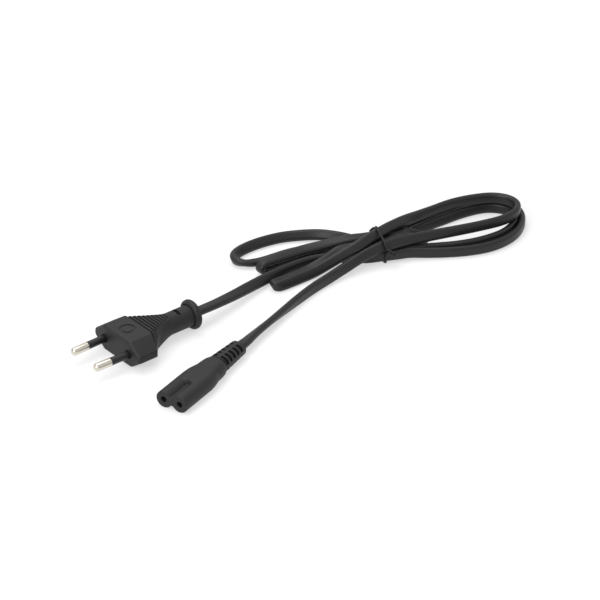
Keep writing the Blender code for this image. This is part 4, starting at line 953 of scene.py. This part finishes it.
root, tip = TIE_TWIST
out = (tip - root).normalized()
beside = out.cross(Vector((0.0, 0.0, 1.0))).normalized()
above = beside.cross(out)
tails = []
for phase in (math.pi, 0.0):
    tail = []
    for k in range(TAIL_STEPS + 1):
        a = phase + 2 * math.pi * TIE_TURNS * k / TAIL_STEPS
        offset = beside * math.sin(a) + above * math.cos(a)
        tail.append((*(root.lerp(tip, k / TAIL_STEPS) + offset * TIE_TWIST_REACH), 0.0))
    tails.append(tail)
wire_path = [*reversed(tails[1]), *[(*point, 0.0) for point in TIE_RING], *tails[0]]
wire_chain = smooth_route(wire_path, TIE_STEP)[0]
draw = node_group("round wire", {"Diameter": "NodeSocketFloat", "Finish": "NodeSocketMaterial"})
given = add(draw, "NodeGroupInput", {}, {})
radius = add(draw, "ShaderNodeMath", {"operation": "MULTIPLY"}, {0: given.outputs["Diameter"], 1: 0.5})
circle = add(
    draw, "GeometryNodeCurvePrimitiveCircle", {}, {"Resolution": 16, "Radius": radius.outputs[0]}
)
drawn = add(
    draw, "GeometryNodeCurveToMesh", {},
    {"Curve": given.outputs["Geometry"], "Profile Curve": circle.outputs["Curve"], "Fill Caps": True},
)
real = add(draw, "GeometryNodeRealizeInstances", {}, {"Geometry": drawn.outputs["Mesh"]})
finished = add(
    draw, "GeometryNodeSetMaterial", {},
    {"Geometry": real.outputs["Geometry"], "Material": given.outputs["Finish"]},
)
add(draw, "NodeGroupOutput", {}, {"Geometry": finished.outputs["Geometry"]})
tie = baked(
    path_curve("tie_wire", wire_chain, FLOOR_PLACE, "MINIMUM"), draw,
    {"Diameter": TIE_WIRE * MM, "Finish": tie_coat}, "tie_wire",
)
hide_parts("twist_tie")
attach(tie, "root")

# Floor and light. The cord lies on white paper in a soft light tent, and the camera sees the paper as
# plain white with a faint shadow under the cord.

FLOOR_SIZE = 6.0  # metres
FLOOR_DROP = 0.00005  # metres, so that it is clear of the loops that lie on it
white_paper, tree, shader = new_material("white paper", "#f4f4f4", {"Roughness": 0.9})
paper_out = tree.nodes["Material Output"]
rays = add(tree, "ShaderNodeLightPath", {}, {})
seen = add(
    tree, "ShaderNodeMath", {"operation": "MAXIMUM"},
    {0: rays.outputs["Is Camera Ray"], 1: rays.outputs["Is Glossy Ray"]},
)
seen_through = add(
    tree, "ShaderNodeMath", {"operation": "MAXIMUM"},
    {0: seen.outputs[0], 1: rays.outputs["Is Transmission Ray"]},
)
glow = add(tree, "ShaderNodeEmission", {}, {"Color": (1.0, 1.0, 1.0, 1.0), "Strength": 1.0})
GLOW_SHARE = 0.55  # lifts the paper to white, and leaves the shadow on it
share = add(
    tree, "ShaderNodeMath", {"operation": "MULTIPLY"}, {0: seen_through.outputs[0], 1: GLOW_SHARE}
)
paper_mix = add(
    tree, "ShaderNodeMixShader", {},
    {0: share.outputs[0], 1: shader.outputs["BSDF"], 2: glow.outputs["Emission"]},
)
tree.links.new(paper_mix.outputs[0], paper_out.inputs["Surface"])
paper = bmesh.new()
bmesh.ops.create_grid(paper, x_segments=1, y_segments=1, size=FLOOR_SIZE / 2)
floor = piece_from(paper, "paper_floor", white_paper, Matrix.Translation((0.0, 0.0, -FLOOR_DROP)))
if floor.data.polygons[0].normal.z < 0:
    floor.data.flip_normals()

DOME_STRENGTH = 0.75
world = bpy.data.worlds.new("light tent")
bpy.context.scene.world = world
world.use_nodes = True
tree = world.node_tree
dome = tree.nodes["Background"]
dome.inputs["Color"].default_value = linear("#ffffff")
dome.inputs["Strength"].default_value = DOME_STRENGTH
rays = add(tree, "ShaderNodeLightPath", {}, {})
backdrop = add(tree, "ShaderNodeBackground", {}, {"Color": (1.0, 1.0, 1.0, 1.0), "Strength": 1.0})
tent = add(
    tree, "ShaderNodeMixShader", {},
    {0: rays.outputs["Is Camera Ray"], 1: dome.outputs[0], 2: backdrop.outputs[0]},
)
tree.links.new(tent.outputs[0], tree.nodes["World Output"].inputs["Surface"])

AIM = Vector((99.8, -11.9, 0.0))  # the middle of the picture, on the floor
for name, spot, size, watts in (
    ("softbox above", (60.0, 250.0, 900.0), 700.0, 4.3),
    ("softbox left", (-700.0, -250.0, 560.0), 500.0, 4.0),
):
    lamp = bpy.data.lights.new(name, "AREA")
    lamp.size = size * MM
    lamp.energy = watts
    holder = bpy.data.objects.new(name, lamp)
    place = FLOOR_PLACE @ Vector(spot)
    holder.location = place
    holder.rotation_euler = (FLOOR_PLACE @ AIM - place).to_track_quat("-Z", "Y").to_euler()
    bpy.context.collection.objects.link(holder)

# Camera. Its angle and distance are the photograph's, fitted to the pins, the plug's face and the
# connector's nose. Its lens is long, so that parallel edges stay nearly parallel.

CAMERA_TURN, CAMERA_RISE = math.radians(-39.04), math.radians(30.65)
CAMERA_DISTANCE = 1461.0
CAMERA_REACH = 20.0  # metres
SENSOR, FOCAL_SHARE = 36.0, 3052 / 600  # focal length in picture widths
back = Vector((
    math.sin(CAMERA_TURN) * math.cos(CAMERA_RISE),
    -math.cos(CAMERA_TURN) * math.cos(CAMERA_RISE),
    math.sin(CAMERA_RISE),
))
lens = bpy.data.cameras.new("camera")
lens.sensor_width = SENSOR
lens.lens = SENSOR * FOCAL_SHARE
lens.clip_end = CAMERA_REACH
camera = bpy.data.objects.new("camera", lens)
camera.location = FLOOR_PLACE @ (AIM + back * CAMERA_DISTANCE)
camera.rotation_euler = back.to_track_quat("Z", "Y").to_euler()
bpy.context.collection.objects.link(camera)
bpy.context.scene.camera = camera
bpy.context.scene.view_settings.view_transform = "Standard"

bpy.context.view_layer.update()
